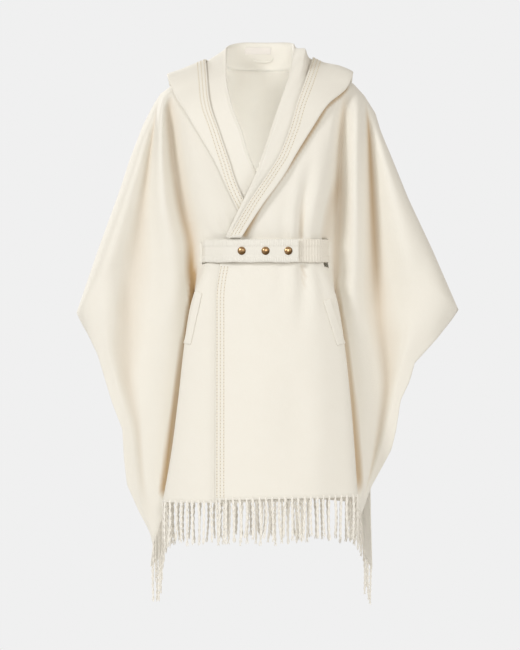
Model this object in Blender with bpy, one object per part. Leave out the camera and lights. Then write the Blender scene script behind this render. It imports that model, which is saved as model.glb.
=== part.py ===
"""Hooded wrap cape: one wide cloth that wraps at the front and is belted at the waist.

The cape is filled out as if worn, with nothing inside it. The origin is at the middle of
the neck, between the shoulders. +Z is up, -Y is the front and +X is the wearer's left.
All sizes are in metres. Each cloth piece is a wall round a grid of points: fall lines run
from the shoulder and arm seam to the hem, and each point lies on a smooth curve across them.
"""

import math
import random

import bpy
import numpy as np
from mathutils import Vector
from mathutils.bvhtree import BVHTree

# Cloth and sewing
CLOTH = 0.0024
ARM_START = 0.026
SEAM_GAP = 0.0003
LAYER_STEP = 0.0052
TURN_GAP = 0.0017
LAPEL_REST = 0.0066
POUCH_REST = 0.0086
LAPEL_START = 1.25
LAPEL_STEP = 0.1
LAY_PASSES = 4
ROLL_PASSES = 6
STATION_STEP = 0.14
WELT_CLEARANCE = 0.0005
SHOULDER_DROP = 0.100
ARM_DROP = 0.070
BODY_POWER = 2.4

# Neck
NECK_POINT_X = 0.084
NECK_POINT_Z = 0.014
NECK_DOME = 0.022
LABEL_X = (-0.040, 0.012)
LABEL_Z = (0.044, 0.058)
LABEL_THICKNESS = 0.0008
LOOP_X = (-0.026, 0.016)
LOOP_Z = (0.030, 0.039)
LOOP_THICKNESS = 0.0012
LOOP_BOW = 0.0016
NECK_CLEARANCE = 0.0002

# Belt
BELT_TOP = -0.330
BELT_HEIGHT = 0.046
BELT_THICKNESS = 0.0030
BELT_BORDER = 0.014
BELT_BORDER_RAISE = 0.0006
BELT_CLEARANCE = 0.0005
BELT_FEEL = 0.008
TAB_END_X = 0.066
UNDER_END_X = -0.058
LEFT_SLIT = (-0.314, -0.392)
RIGHT_SLIT = (-0.324, -0.383)

# Snaps
SNAP_X = (-0.046, 0.001, 0.046)
SNAP_RADIUS = 0.0073
SNAP_HEIGHT = 0.0034
SNAP_PROFILE = (
    (1.00, 0.00),
    (1.00, 0.26),
    (0.90, 0.52),
    (0.60, 0.86),
    (0.28, 0.98),
)

# Fringe
STRIP_GAP = 0.0007
STRIP_HEIGHT = 0.005
STRAND_WIDTH = 0.0066
STRAND_LENGTH = 0.080
FRONT_PITCH = 0.0130
BACK_PITCH = 0.0150
STRAND_RINGS = ((0.5, 0.0052), (1.0, 0.0036))
STRAND_DEPTH = 0.0030

# The figure's general form: height, half width, depth in front and depth behind.
FORM = (
    (0.030, 0.205, 0.078, 0.092),
    (-0.060, 0.205, 0.096, 0.112),
    (-0.160, 0.192, 0.116, 0.124),
    (-0.260, 0.165, 0.108, 0.120),
    (-0.350, 0.142, 0.100, 0.118),
    (-0.450, 0.172, 0.111, 0.126),
    (-0.600, 0.196, 0.127, 0.142),
    (-0.860, 0.224, 0.150, 0.166),
)

# Shoulder and arm seam from the neck to the wing corner: height and distance from the middle.
LEFT_ARM = (
    (0.014, 0.084),
    (-0.018, 0.176),
    (-0.042, 0.198),
    (-0.077, 0.220),
    (-0.114, 0.231),
    (-0.164, 0.252),
    (-0.248, 0.286),
    (-0.350, 0.334),
    (-0.470, 0.386),
)
RIGHT_ARM = (
    (0.014, 0.084),
    (-0.022, 0.186),
    (-0.038, 0.208),
    (-0.056, 0.220),
    (-0.100, 0.243),
    (-0.170, 0.270),
    (-0.232, 0.290),
    (-0.350, 0.333),
    (-0.476, 0.376),
)

# Front fall lines: height, distance from the middle towards the panel's own side, depth.
# A depth of None lies on the figure's general form.
LEFT_FRONT = {
    "edge": (
        (0.014, 0.084, None),
        (-0.006, 0.062, None),
        (-0.062, 0.040, None),
        (-0.122, 0.019, None),
        (-0.200, -0.008, None),
        (-0.264, -0.038, None),
        (-0.328, -0.068, None),
        (-0.376, -0.088, None),
        (-0.450, -0.098, None),
        (-0.846, -0.098, None),
    ),
    "side": (
        (-0.009, 0.150, None),
        (-0.100, 0.134, None),
        (-0.220, 0.120, None),
        (-0.300, 0.112, None),
        (-0.376, 0.114, None),
        (-0.410, 0.128, None),
        (-0.450, 0.143, None),
        (-0.530, 0.157, None),
        (-0.650, 0.170, None),
        (-0.840, 0.184, None),
    ),
    "gap": (
        (-0.018, 0.176, -0.060),
        (-0.066, 0.158, -0.055),
        (-0.150, 0.150, -0.052),
        (-0.250, 0.147, -0.043),
        (-0.350, 0.143, -0.036),
        (-0.400, 0.141, -0.030),
        (-0.450, 0.137, -0.024),
        (-0.530, 0.143, -0.022),
        (-0.650, 0.151, -0.028),
        (-0.850, 0.166, -0.050),
    ),
    "ridge": (
        (-0.029, 0.186, -0.055),
        (-0.066, 0.182, -0.070),
        (-0.150, 0.180, -0.080),
        (-0.250, 0.180, -0.074),
        (-0.350, 0.180, -0.058),
        (-0.450, 0.176, -0.040),
        (-0.530, 0.184, -0.032),
        (-0.650, 0.196, -0.028),
        (-0.780, 0.198, -0.030),
        (-0.862, 0.185, -0.036),
    ),
    "hollow": (
        (-0.043, 0.199, -0.040),
        (-0.110, 0.206, -0.046),
        (-0.210, 0.212, -0.042),
        (-0.350, 0.220, -0.026),
        (-0.490, 0.230, -0.014),
        (-0.610, 0.240, -0.010),
        (-0.700, 0.228, -0.014),
        (-0.800, 0.208, -0.022),
        (-0.868, 0.188, -0.028),
    ),
    "crest": (
        (-0.072, 0.216, -0.030),
        (-0.130, 0.228, -0.046),
        (-0.210, 0.247, -0.060),
        (-0.350, 0.282, -0.064),
        (-0.440, 0.308, -0.058),
        (-0.530, 0.285, -0.046),
        (-0.610, 0.264, -0.034),
        (-0.700, 0.245, -0.028),
        (-0.800, 0.214, -0.024),
        (-0.872, 0.190, -0.022),
    ),
}
RIGHT_FRONT = {
    "edge": (
        (0.014, 0.084, None),
        (-0.006, 0.083, None),
        (-0.062, 0.076, None),
        (-0.122, 0.055, None),
        (-0.166, 0.042, None),
        (-0.202, 0.026, None),
        (-0.270, -0.020, None),
        (-0.330, -0.058, None),
        (-0.376, -0.076, None),
        (-0.450, -0.084, None),
        (-0.848, -0.092, None),
    ),
    "side": (
        (-0.010, 0.152, None),
        (-0.100, 0.150, None),
        (-0.220, 0.134, None),
        (-0.300, 0.114, None),
        (-0.376, 0.112, None),
        (-0.410, 0.127, None),
        (-0.450, 0.145, None),
        (-0.530, 0.160, None),
        (-0.650, 0.174, None),
        (-0.750, 0.186, None),
        (-0.852, 0.203, None),
    ),
    "gap": (
        (-0.020, 0.180, -0.056),
        (-0.070, 0.190, -0.044),
        (-0.150, 0.184, -0.041),
        (-0.250, 0.168, -0.037),
        (-0.350, 0.145, -0.036),
        (-0.400, 0.143, -0.030),
        (-0.450, 0.139, -0.020),
        (-0.530, 0.142, -0.016),
        (-0.650, 0.155, -0.018),
        (-0.858, 0.186, -0.046),
    ),
    "ridge": (
        (-0.029, 0.196, -0.045),
        (-0.070, 0.206, -0.060),
        (-0.150, 0.208, -0.072),
        (-0.250, 0.204, -0.072),
        (-0.350, 0.190, -0.058),
        (-0.450, 0.186, -0.042),
        (-0.530, 0.192, -0.034),
        (-0.650, 0.204, -0.030),
        (-0.800, 0.214, -0.030),
        (-0.884, 0.204, -0.034),
    ),
    "hollow": (
        (-0.040, 0.209, -0.035),
        (-0.110, 0.222, -0.048),
        (-0.230, 0.240, -0.048),
        (-0.350, 0.256, -0.036),
        (-0.490, 0.268, -0.024),
        (-0.590, 0.268, -0.018),
        (-0.700, 0.250, -0.018),
        (-0.820, 0.240, -0.022),
        (-0.908, 0.212, -0.028),
    ),
    "crest": (
        (-0.052, 0.217, -0.030),
        (-0.130, 0.240, -0.050),
        (-0.230, 0.268, -0.062),
        (-0.350, 0.304, -0.062),
        (-0.430, 0.322, -0.054),
        (-0.520, 0.316, -0.044),
        (-0.620, 0.294, -0.034),
        (-0.720, 0.266, -0.028),
        (-0.830, 0.254, -0.026),
        (-0.926, 0.219, -0.024),
    ),
}

# Front side edges from the wing corner to the front's lower corner.
LEFT_FRONT_EDGE = (
    (-0.470, 0.386, 0.000),
    (-0.490, 0.372, -0.014),
    (-0.530, 0.340, -0.034),
    (-0.576, 0.298, -0.038),
    (-0.612, 0.288, -0.036),
    (-0.650, 0.270, -0.034),
    (-0.710, 0.261, -0.030),
    (-0.748, 0.252, -0.027),
    (-0.782, 0.234, -0.024),
    (-0.822, 0.212, -0.020),
    (-0.878, 0.192, -0.016),
)
RIGHT_FRONT_EDGE = (
    (-0.476, 0.376, 0.000),
    (-0.496, 0.366, -0.016),
    (-0.520, 0.352, -0.030),
    (-0.560, 0.333, -0.036),
    (-0.610, 0.318, -0.036),
    (-0.656, 0.304, -0.034),
    (-0.708, 0.284, -0.032),
    (-0.764, 0.281, -0.030),
    (-0.818, 0.275, -0.027),
    (-0.870, 0.252, -0.024),
    (-0.916, 0.228, -0.020),
    (-0.938, 0.224, -0.018),
)

# Back fall lines, used for both sides, from the middle outwards.
BACK = {
    "centre": (
        (0.010, 0.000, None),
        (-0.848, 0.000, None),
    ),
    "blade": (
        (0.011, 0.048, None),
        (-0.200, 0.070, None),
        (-0.850, 0.082, None),
    ),
    "neck": (
        (0.014, 0.084, None),
        (-0.150, 0.094, None),
        (-0.852, 0.112, None),
    ),
    "side": (
        (-0.002, 0.130, None),
        (-0.150, 0.130, None),
        (-0.350, 0.112, None),
        (-0.600, 0.136, None),
        (-0.855, 0.150, None),
    ),
    "gap": (
        (-0.016, 0.170, 0.060),
        (-0.070, 0.166, 0.078),
        (-0.150, 0.162, 0.084),
        (-0.350, 0.156, 0.080),
        (-0.600, 0.168, 0.094),
        (-0.858, 0.178, 0.112),
    ),
    "ridge": (
        (-0.027, 0.189, 0.050),
        (-0.070, 0.190, 0.066),
        (-0.150, 0.194, 0.084),
        (-0.350, 0.198, 0.092),
        (-0.600, 0.206, 0.088),
        (-0.800, 0.198, 0.094),
        (-0.866, 0.193, 0.096),
    ),
    "hollow": (
        (-0.040, 0.202, 0.040),
        (-0.110, 0.212, 0.046),
        (-0.210, 0.222, 0.050),
        (-0.350, 0.242, 0.048),
        (-0.500, 0.250, 0.052),
        (-0.700, 0.226, 0.062),
        (-0.850, 0.208, 0.076),
        (-0.906, 0.204, 0.080),
    ),
    "crest": (
        (-0.060, 0.215, 0.030),
        (-0.130, 0.232, 0.046),
        (-0.210, 0.253, 0.058),
        (-0.350, 0.294, 0.066),
        (-0.440, 0.312, 0.066),
        (-0.520, 0.292, 0.066),
        (-0.700, 0.246, 0.062),
        (-0.850, 0.220, 0.056),
        (-0.966, 0.210, 0.053),
    ),
}
# Outermost line that the back's wing lines are drawn for; each side is spread to its own.
BACK_REFERENCE = (
    (-0.060, 0.218),
    (-0.130, 0.240),
    (-0.210, 0.274),
    (-0.350, 0.337),
    (-0.473, 0.381),
    (-0.530, 0.332),
    (-0.660, 0.284),
    (-0.850, 0.240),
    (-0.984, 0.226),
)
LEFT_BACK_EDGE = (
    (-0.470, 0.386, 0.000),
    (-0.500, 0.352, 0.026),
    (-0.566, 0.286, 0.050),
    (-0.640, 0.262, 0.054),
    (-0.720, 0.244, 0.052),
    (-0.822, 0.211, 0.044),
    (-0.900, 0.212, 0.038),
    (-0.988, 0.214, 0.030),
)
RIGHT_BACK_EDGE = (
    (-0.476, 0.376, 0.000),
    (-0.506, 0.346, 0.026),
    (-0.566, 0.314, 0.048),
    (-0.660, 0.286, 0.056),
    (-0.760, 0.262, 0.052),
    (-0.860, 0.238, 0.044),
    (-0.940, 0.224, 0.036),
    (-0.984, 0.229, 0.030),
)

# How far the over front stands off the form, where it lies on the other front: height, lift.
OVERLAP_LIFT = (
    (-0.100, 0.000),
    (-0.160, 0.010),
    (-0.205, 0.0155),
    (-0.300, 0.0160),
    (-0.332, 0.0090),
    (-0.400, 0.0070),
    (-0.860, 0.0070),
)

# Hood and lapel stations round the neck. Station -1 and 1 are the neck points, the back lies
# between them, and beyond them a whole step is 0.1 m down a lapel. Columns: station, roll
# (x, y, z), outer fold (x, y, z), share of the way back to the roll at which the free edge
# ends, and how far the free edge stands off the layer under it.
HOOD = (
    (-3.82, (0.030, -0.104, -0.272), (-0.026, -0.104, -0.306), 0.26, 0.005),
    (-3.50, (0.011, -0.105, -0.238), (-0.050, -0.104, -0.272), 0.25, 0.005),
    (-3.16, (-0.015, -0.106, -0.202), (-0.071, -0.104, -0.229), 0.28, 0.005),
    (-2.80, (-0.032, -0.104, -0.166), (-0.094, -0.100, -0.179), 0.38, 0.005),
    (-2.36, (-0.044, -0.096, -0.122), (-0.126, -0.090, -0.124), 0.47, 0.005),
    (-1.76, (-0.066, -0.078, -0.062), (-0.158, -0.072, -0.070), 0.56, 0.006),
    (-1.18, (-0.077, -0.048, 0.008), (-0.176, -0.036, -0.042), 0.64, 0.0052),
    (-1.00, (-0.077, 0.000, 0.050), (-0.186, 0.008, -0.018), 0.64, 0.0052),
    (-0.70, (-0.064, 0.040, 0.062), (-0.168, 0.092, -0.092), 0.68, 0.014),
    (-0.35, (-0.034, 0.062, 0.067), (-0.104, 0.146, -0.190), 0.72, 0.046),
    (0.00, (0.000, 0.068, 0.067), (0.000, 0.156, -0.240), 0.72, 0.056),
    (0.35, (0.034, 0.062, 0.067), (0.104, 0.146, -0.190), 0.72, 0.046),
    (0.70, (0.056, 0.040, 0.063), (0.160, 0.088, -0.088), 0.68, 0.014),
    (1.00, (0.057, 0.000, 0.050), (0.166, 0.004, -0.014), 0.68, 0.0052),
    (1.18, (0.050, -0.055, 0.006), (0.160, -0.036, -0.030), 0.72, 0.0052),
    (1.76, (0.028, -0.080, -0.062), (0.122, -0.078, -0.062), 0.64, 0.006),
    (2.36, (0.008, -0.098, -0.122), (0.082, -0.094, -0.122), 0.51, 0.005),
    (2.82, (-0.007, -0.108, -0.168), (0.054, -0.104, -0.168), 0.46, 0.005),
    (3.14, (-0.018, -0.112, -0.200), (0.036, -0.108, -0.200), 0.56, 0.005),
    (3.78, (-0.048, -0.112, -0.264), (-0.010, -0.110, -0.264), 0.70, 0.005),
    (4.40, (-0.078, -0.104, -0.326), (-0.050, -0.104, -0.326), 0.80, 0.005),
)

# Way in which the hood is laid off the panels: station's distance from the middle of the
# back, then the way (x towards its own side, y, z).
LAY_WAYS = (
    (0.00, (0.00, 1.00, 0.15)),
    (0.60, (0.22, 0.85, 0.40)),
    (1.00, (0.34, 0.05, 0.94)),
    (1.30, (0.26, -0.75, 0.60)),
    (1.80, (0.12, -1.00, 0.15)),
    (4.50, (0.00, -1.00, 0.00)),
)
LAY_REACH = 0.12
EDGE_REACH = 0.02

# Belt centre line behind the fronts, from the left slit round the back to the right one.
BELT_BACK = (
    (0.1160, -0.0850),
    (0.1230, -0.0710),
    (0.1270, -0.0400),
    (0.1310, 0.0000),
    (0.1270, 0.0340),
    (0.1080, 0.0640),
    (0.0740, 0.0860),
    (0.0260, 0.0960),
    (-0.0260, 0.0960),
    (-0.0740, 0.0860),
    (-0.1080, 0.0640),
    (-0.1270, 0.0340),
    (-0.1310, 0.0000),
    (-0.1270, -0.0400),
    (-0.1215, -0.0640),
    (-0.1165, -0.0790),
)
FRONT_REACH = 0.104
BELT_STATIONS = 56
ELASTIC_STATIONS = 20
TAB_STATIONS = 11

# Pocket welts: centre of the top end (x, z), run (x, z), length and width.
LEFT_WELT = ((0.1220, -0.4510), (0.300, -0.954), 0.092, 0.0145)
RIGHT_WELT = ((-0.1305, -0.4360), (-0.214, -0.977), 0.104, 0.0120)

CREAM = (0.87, 0.81, 0.68)
FRINGE_CREAM = (0.88, 0.83, 0.71)
OFF_WHITE = (0.90, 0.88, 0.82)
ELASTIC_CREAM = (0.84, 0.80, 0.70)
SATIN = (0.88, 0.84, 0.79)
BRASS = (0.45, 0.31, 0.12)


def smooth(table_keys, table_values, at):
    """Monotone cubic through a table whose keys rise. Values may have several columns."""
    keys = np.asarray(table_keys, float)
    values = np.asarray(table_values, float)
    single = values.ndim == 1
    if single:
        values = values[:, None]
    where = np.clip(np.atleast_1d(np.asarray(at, float)), keys[0], keys[-1])
    step = np.diff(keys)
    rise = np.diff(values, axis=0) / step[:, None]
    slope = np.zeros_like(values)
    slope[0] = rise[0]
    slope[-1] = rise[-1]
    if len(keys) > 2:
        before = rise[:-1]
        after = rise[1:]
        same = before * after > 0
        total = np.where(same, before + after, 1.0)
        slope[1:-1] = np.where(same, 2.0 * before * after / total, 0.0)
    cell = np.clip(np.searchsorted(keys, where, side="right") - 1, 0, len(keys) - 2)
    share = ((where - keys[cell]) / step[cell])[:, None]
    width = step[cell][:, None]
    low = values[cell]
    high = values[cell + 1]
    result = (
        low * (1 + 2 * share) * (1 - share) ** 2
        + high * share**2 * (3 - 2 * share)
        + slope[cell] * width * share * (1 - share) ** 2
        - slope[cell + 1] * width * share**2 * (1 - share)
    )
    if single:
        result = result[:, 0]
    return result if np.ndim(at) else result[0]


def by_height(rows, z, straight=False):
    """Values of a table whose rows fall in height, at height z."""
    table = np.array(rows, float)[::-1]
    if straight:
        return np.array([np.interp(z, table[:, 0], column) for column in table[:, 1:].T])
    return smooth(table[:, 0], table[:, 1:], z)


def rounding(drop, reach):
    """Quarter circle from 0 on the seam to 1 where the cloth hangs."""
    share = min(max(drop / reach, 0.0), 1.0)
    return math.sqrt(share * (2.0 - share))


def shoulder_height(arm, x):
    """Height of the shoulder seam at a distance from the middle, with a dome over the neck."""
    if x >= NECK_POINT_X:
        distances = [row[1] for row in arm]
        heights = [row[0] for row in arm]
        return float(np.interp(x, distances, heights))
    dome = NECK_DOME * (1.0 - (x / NECK_POINT_X) ** 2)
    return NECK_POINT_Z + dome


def form_depth(arm, x, z, back=False):
    """Depth of the general form at (x, z): the body's oval, rounded in at the shoulder."""
    half, front, rear = by_height(FORM, z)
    share = min(abs(x) / half, 0.995)
    oval = (1.0 - share**BODY_POWER) ** (1.0 / BODY_POWER)
    reach = rounding(shoulder_height(arm, abs(x)) - z, SHOULDER_DROP)
    return (rear if back else -front) * oval * reach


def lift_over(x, z):
    """How far the over front stands off the form, fading towards its own side."""
    lift = float(by_height(OVERLAP_LIFT, z)[0])
    fade = min(max((0.146 - x) / 0.046, 0.0), 1.0)
    return lift * fade * fade * (3.0 - 2.0 * fade)


def line_point(rows, share, arm, back=False):
    """Point of one fall line at a share of its fall, on the panel's own side."""
    top = rows[0][0]
    z = top + (rows[-1][0] - top) * share
    x = float(by_height([row[:2] for row in rows], z)[0])
    if rows[-1][2] is None:
        return np.array((x, form_depth(arm, x, z, back), z))
    depth = float(by_height([(row[0], row[2]) for row in rows], z)[0])
    return np.array((x, depth * rounding(top - z, ARM_DROP), z))


def outer_point(arm, edge, share, corner_share, start):
    """Point of the outermost line: down the arm seam to the wing corner, then the side edge."""
    corner = arm[-1][0]
    if share <= corner_share:
        z = start + (corner - start) * share / corner_share
        return np.array((float(by_height(arm, z, straight=True)[0]), 0.0, z))
    z = corner + (edge[-1][0] - corner) * (share - corner_share) / (1.0 - corner_share)
    x, y = by_height(edge, z, straight=True)
    return np.array((float(x), float(y), z))


def roll_point(crest, outer, past_corner):
    """Point between crest and outer line that rounds the cloth over the arm."""
    fade = min(max(past_corner / 0.16, 0.0), 1.0)
    wide = 0.84 - 0.24 * fade
    deep = 0.46 + 0.14 * fade
    x = crest[0] + (outer[0] - crest[0]) * wide
    y = crest[1] + (outer[1] - crest[1]) * deep
    return np.array((x, y, crest[2] + (outer[2] - crest[2]) * wide))


def across(points, cells):
    """Smooth curve through the lines' points, with a number of cells for each span."""
    keys = np.arange(len(points))
    at = [0.0]
    for span, count in enumerate(cells):
        at.extend(span + (step + 1) / count for step in range(count))
    return smooth(keys, np.array(points), np.array(at))


FRONT_CELLS = (3, 3, 3, 2, 2, 2, 2, 2, 1)
BACK_CELLS = (3, 2, 2, 1, 2, 2, 2, 2, 1)
SLIT_ROWS = (11, 12, 13)
SLIT_COLUMNS = (9, 10)
SIDE_COLUMN = 10
UNDER_POINTS = 7


def fall_shares(stops):
    """Rising shares of the fall. Each stop is a share and the number of cells up to it."""
    shares = [0.0]
    for stop, count in stops:
        start = shares[-1]
        shares.extend(start + (stop - start) * (step + 1) / count for step in range(count))
    return shares


def slit_share(side, z):
    """Share of the side line's fall at height z."""
    return (side[0][0] - z) / (side[0][0] - side[-1][0])


def front_grid(lines, arm, edge, slit, sign, over):
    """Grid of a front panel from its free edge outwards, and the row of the wing corner."""
    first = slit_share(lines["side"], slit[0])
    last = slit_share(lines["side"], slit[1])
    corner = (first * 0.4) + (last * 0.6)
    shares = fall_shares(((0.10, 4), (first, 7), (corner, 2), (last, 1), (1.0, 12)))
    start = lines["crest"][0][0] - ARM_START
    rows = []
    for share in shares:
        side = line_point(lines["side"], share, arm)
        inner = line_point(lines["edge"], share, arm)
        points = [inner]
        for part in (1 / 3, 2 / 3):
            x = inner[0] + (side[0] - inner[0]) * part
            z = inner[2] + (side[2] - inner[2]) * part
            if share == 0.0:
                z = shoulder_height(arm, x)
            points.append(np.array((x, form_depth(arm, x, z), z)))
        points.append(side)
        for name in ("gap", "ridge", "hollow", "crest"):
            points.append(line_point(lines[name], share, arm))
        outer = outer_point(arm, edge, share, corner, start)
        points.append(roll_point(points[-1], outer, share - corner))
        points.append(outer)
        row = across(points, FRONT_CELLS)
        if over:
            for point in row:
                point[1] -= lift_over(point[0], point[2])
        if share == 0.0:
            row[:, 1] = 0.0
            seat_on_seam(row, arm, SIDE_COLUMN)
        rows.append(row)
    grid = np.array(rows)
    grid[:, :, 0] *= sign
    corner_row = shares.index(corner)
    grid[0, :, 1] = -SEAM_GAP / 2
    grid[: corner_row + 1, -1, 1] = -SEAM_GAP / 2
    return grid, corner_row


def spread_wing(point, gap, outer):
    """Move a wing point so that it keeps its place between the gap and the outer line."""
    reference = float(by_height(BACK_REFERENCE, outer[2])[0])
    point[0] = gap[0] + (point[0] - gap[0]) * (outer[0] - gap[0]) / (reference - gap[0])


def seat_on_seam(row, arm, first):
    """Put the points of a first row on the shoulder seam, from the column first outwards."""
    for point in row[first:]:
        point[0] = float(by_height(arm, point[2], straight=True)[0])
        point[1] = 0.0


def back_grid():
    """Grid of the back panel from the wearer's left side to the right, and its corner row."""
    corner = 0.40
    shares = fall_shares(((0.09, 4), (corner, 8), (1.0, 13)))
    halves = []
    sides = ((LEFT_ARM, LEFT_BACK_EDGE, 1.0), (RIGHT_ARM, RIGHT_BACK_EDGE, -1.0))
    for arm, edge, sign in sides:
        rows = []
        for share in shares:
            points = [line_point(lines, share, arm, back=True) for lines in BACK.values()]
            start = BACK["crest"][0][0] - ARM_START
            outer = outer_point(arm, edge, share, corner, start)
            for point in points[-3:]:
                spread_wing(point, points[-4], outer)
            points.append(roll_point(points[-1], outer, share - corner))
            points.append(outer)
            row = across(points, BACK_CELLS)
            if share == 0.0:
                for point in row:
                    beside = point[0] >= NECK_POINT_X
                    point[2] = shoulder_height(arm, point[0]) if beside else point[2]
                    point[1] = 0.0 if beside else form_depth(arm, point[0], point[2], back=True)
                seat_on_seam(row, arm, SIDE_COLUMN)
            rows.append(row)
        half = np.array(rows)
        half[:, :, 0] *= sign
        halves.append(half)
    corner_row = shares.index(corner)
    for half in halves:
        beside = np.abs(half[0, :, 0]) >= NECK_POINT_X
        half[0, beside, 1] = SEAM_GAP / 2
        half[: corner_row + 1, -1, 1] = SEAM_GAP / 2
    left, right = halves
    return np.concatenate([left[:, ::-1], right[:, 1:]], axis=1), corner_row


def grid_normals(grid):
    """Unit normals of a grid of points, row direction crossed with column direction."""
    down = np.gradient(grid, axis=0)
    along = np.gradient(grid, axis=1)
    normals = np.cross(down, along)
    length = np.linalg.norm(normals, axis=2, keepdims=True)
    return normals / np.maximum(length, 1e-12)


def seam_normals(points):
    """Normals along a seam, turned into the seam's plane so that both walls end on it."""
    run = np.gradient(points, axis=0)
    normals = np.stack([-run[:, 2], np.zeros(len(run)), run[:, 0]], axis=1)
    normals *= np.where(normals[:, 2:] < 0, -1.0, 1.0)
    return normals / np.linalg.norm(normals, axis=1, keepdims=True)


def wall_normals(grid, seams):
    """Normals of a panel, with those along its seams turned into the seam's plane."""
    normals = grid_normals(grid)
    for place in seams:
        normals[place] = seam_normals(grid[place])
    return normals


def wall_faces(rows, cols, holes=frozenset()):
    """Faces of a wall between an outer and an inner grid, with a rim on every free edge."""
    count = rows * cols
    outer = []
    for i in range(rows - 1):
        for j in range(cols - 1):
            if (i, j) in holes:
                continue
            a = i * cols + j
            b = a + cols
            outer.append((a, b, b + 1, a + 1))
    inner = [tuple(v + count for v in reversed(face)) for face in outer]
    directed = {(face[k], face[(k + 1) % 4]) for face in outer for k in range(4)}
    rim = [
        (q, p, p + count, q + count)
        for p, q in sorted(directed)
        if (q, p) not in directed
    ]
    return outer + inner + rim


def add_object(name, vertices, faces, material):
    """New mesh object without its unused vertices."""
    used = sorted({v for face in faces for v in face})
    order = {old: new for new, old in enumerate(used)}
    mesh = bpy.data.meshes.new(name)
    mesh.from_pydata(
        [tuple(float(c) for c in vertices[v]) for v in used],
        [],
        [tuple(order[v] for v in face) for face in faces],
    )
    mesh.materials.append(material)
    mesh.shade_smooth()
    mesh.set_sharp_from_angle(angle=math.radians(50))
    thing = bpy.data.objects.new(name, mesh)
    bpy.context.scene.collection.objects.link(thing)
    return thing


def add_wall(name, grid, normals, thickness, material, holes=frozenset()):
    """Cloth wall of a thickness round a grid of middle points."""
    rows, cols = grid.shape[:2]
    outer = (grid + normals * thickness / 2).reshape(-1, 3)
    inner = (grid - normals * thickness / 2).reshape(-1, 3)
    return add_object(name, np.concatenate([outer, inner]), wall_faces(rows, cols, holes), material)


def surface_tree(grid):
    """Search tree of a grid's surface, its normals facing out."""
    rows, cols = grid.shape[:2]
    faces = []
    for i in range(rows - 1):
        for j in range(cols - 1):
            a = i * cols + j
            faces.append((a, a + cols, a + cols + 1, a + 1))
    return BVHTree.FromPolygons([Vector(p) for p in grid.reshape(-1, 3)], faces)


def lay_way(key):
    """Unit vector along which a hood station is laid off the panels."""
    side, deep, high = smooth([row[0] for row in LAY_WAYS], [row[1] for row in LAY_WAYS], abs(key))
    way = np.array((math.copysign(side, key), deep, high))
    return way / np.linalg.norm(way)


def lift_off(point, way, trees, rest):
    """How far a point must move along a way to stand a distance off the panels."""
    need = 0.0
    start = Vector(point + way * LAY_REACH)
    for tree in trees:
        hit = tree.ray_cast(start, Vector(-way), 2 * LAY_REACH)[0]
        if hit is not None:
            need = max(need, float((np.array(hit) - point) @ way) + rest)
        near, normal, _, gap = tree.find_nearest(Vector(point + way * need))
        if gap < EDGE_REACH:
            offset = float((point + way * need - np.array(near)) @ np.array(normal))
            need += max(0.0, rest - offset) / max(float(np.array(normal) @ way), 0.5)
    return need


def half_turn(start, end, tip, count=4):
    """Points of a U-turn from start to end that bulges towards tip."""
    middle = (start + end) / 2
    side = (start - end) / 2
    reach = np.linalg.norm(side)
    out = tip - middle
    out = out / max(np.linalg.norm(out), 1e-9) * reach
    turns = [math.pi * k / (count - 1) for k in range(count)]
    return [middle + side * math.cos(turn) + out * math.sin(turn) for turn in turns]


def even_out(normals, passes):
    """Average normals with those of the stations beside them."""
    for _ in range(passes):
        wide = np.concatenate([normals[:1], normals, normals[-1:]])
        normals = wide[:-2] + 2.0 * wide[1:-1] + wide[2:]
        normals = normals / np.linalg.norm(normals, axis=2, keepdims=True)
    return normals


def neck_stations(left, right, back):
    """Neckline vertices from the right lapel's foot round the neck to the left one's."""
    stations = []
    for i in range(right.shape[0] - 1, 0, -1):
        point = right[i, -1]
        stations.append((-1.0 - (NECK_POINT_Z - point[2]) / LAPEL_STEP, point))
    centre = [p for p in back[0] if abs(p[0]) < NECK_POINT_X]
    stations.append((-1.0, np.array((-NECK_POINT_X, 0.0, NECK_POINT_Z))))
    for point in reversed(centre):
        stations.append((point[0] / NECK_POINT_X, point))
    stations.append((1.0, np.array((NECK_POINT_X, 0.0, NECK_POINT_Z))))
    for i in range(1, left.shape[0]):
        point = left[i, 0]
        stations.append((1.0 + (NECK_POINT_Z - point[2]) / LAPEL_STEP, point))
    first = HOOD[0][0]
    last = HOOD[-1][0]
    kept = [(key, point) for key, point in stations if first <= key <= last]
    dense = [kept[0]]
    for (key, point), (after, beyond) in zip(kept, kept[1:]):
        near_neck = abs(key + after) / 2 < LAPEL_START
        cells = max(1, math.ceil((after - key) / STATION_STEP)) if near_neck else 1
        for k in range(1, cells + 1):
            part = k / cells
            dense.append((key + (after - key) * part, point + (beyond - point) * part))
    return dense


def under_shares(roll, fold):
    """Shares of the way from the roll to the outer fold at which the under layer has points."""
    length = np.linalg.norm(fold - roll)
    first = 1.1 * LAYER_STEP / length
    last = 1.0 - 0.8 * LAYER_STEP / length
    even = np.linspace(0.0, 1.0, UNDER_POINTS)
    return np.append(first + (last - first) * (0.6 * even + 0.4 * even**2), 1.0)


def evened(values, passes):
    """Blur values along the stations, but let none fall below what it was."""
    result = values
    for _ in range(passes):
        wide = np.concatenate([result[:1], result, result[-1:]])
        result = np.maximum((wide[:-2] + 2.0 * wide[1:-1] + wide[2:]) / 4.0, values)
    return result


def off_seam(seam, roll, trees):
    """Way from a seam point to the hood's first point: longer where the hood turns more."""
    towards = (roll - seam) / np.linalg.norm(roll - seam)
    turn = 0.0
    for tree in trees:
        _, normal, _, gap = tree.find_nearest(Vector(seam))
        if gap < CLOTH:
            turn = max(turn, abs(float(towards @ np.array(normal))))
    return towards * (SEAM_GAP + turn * TURN_GAP)


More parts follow.
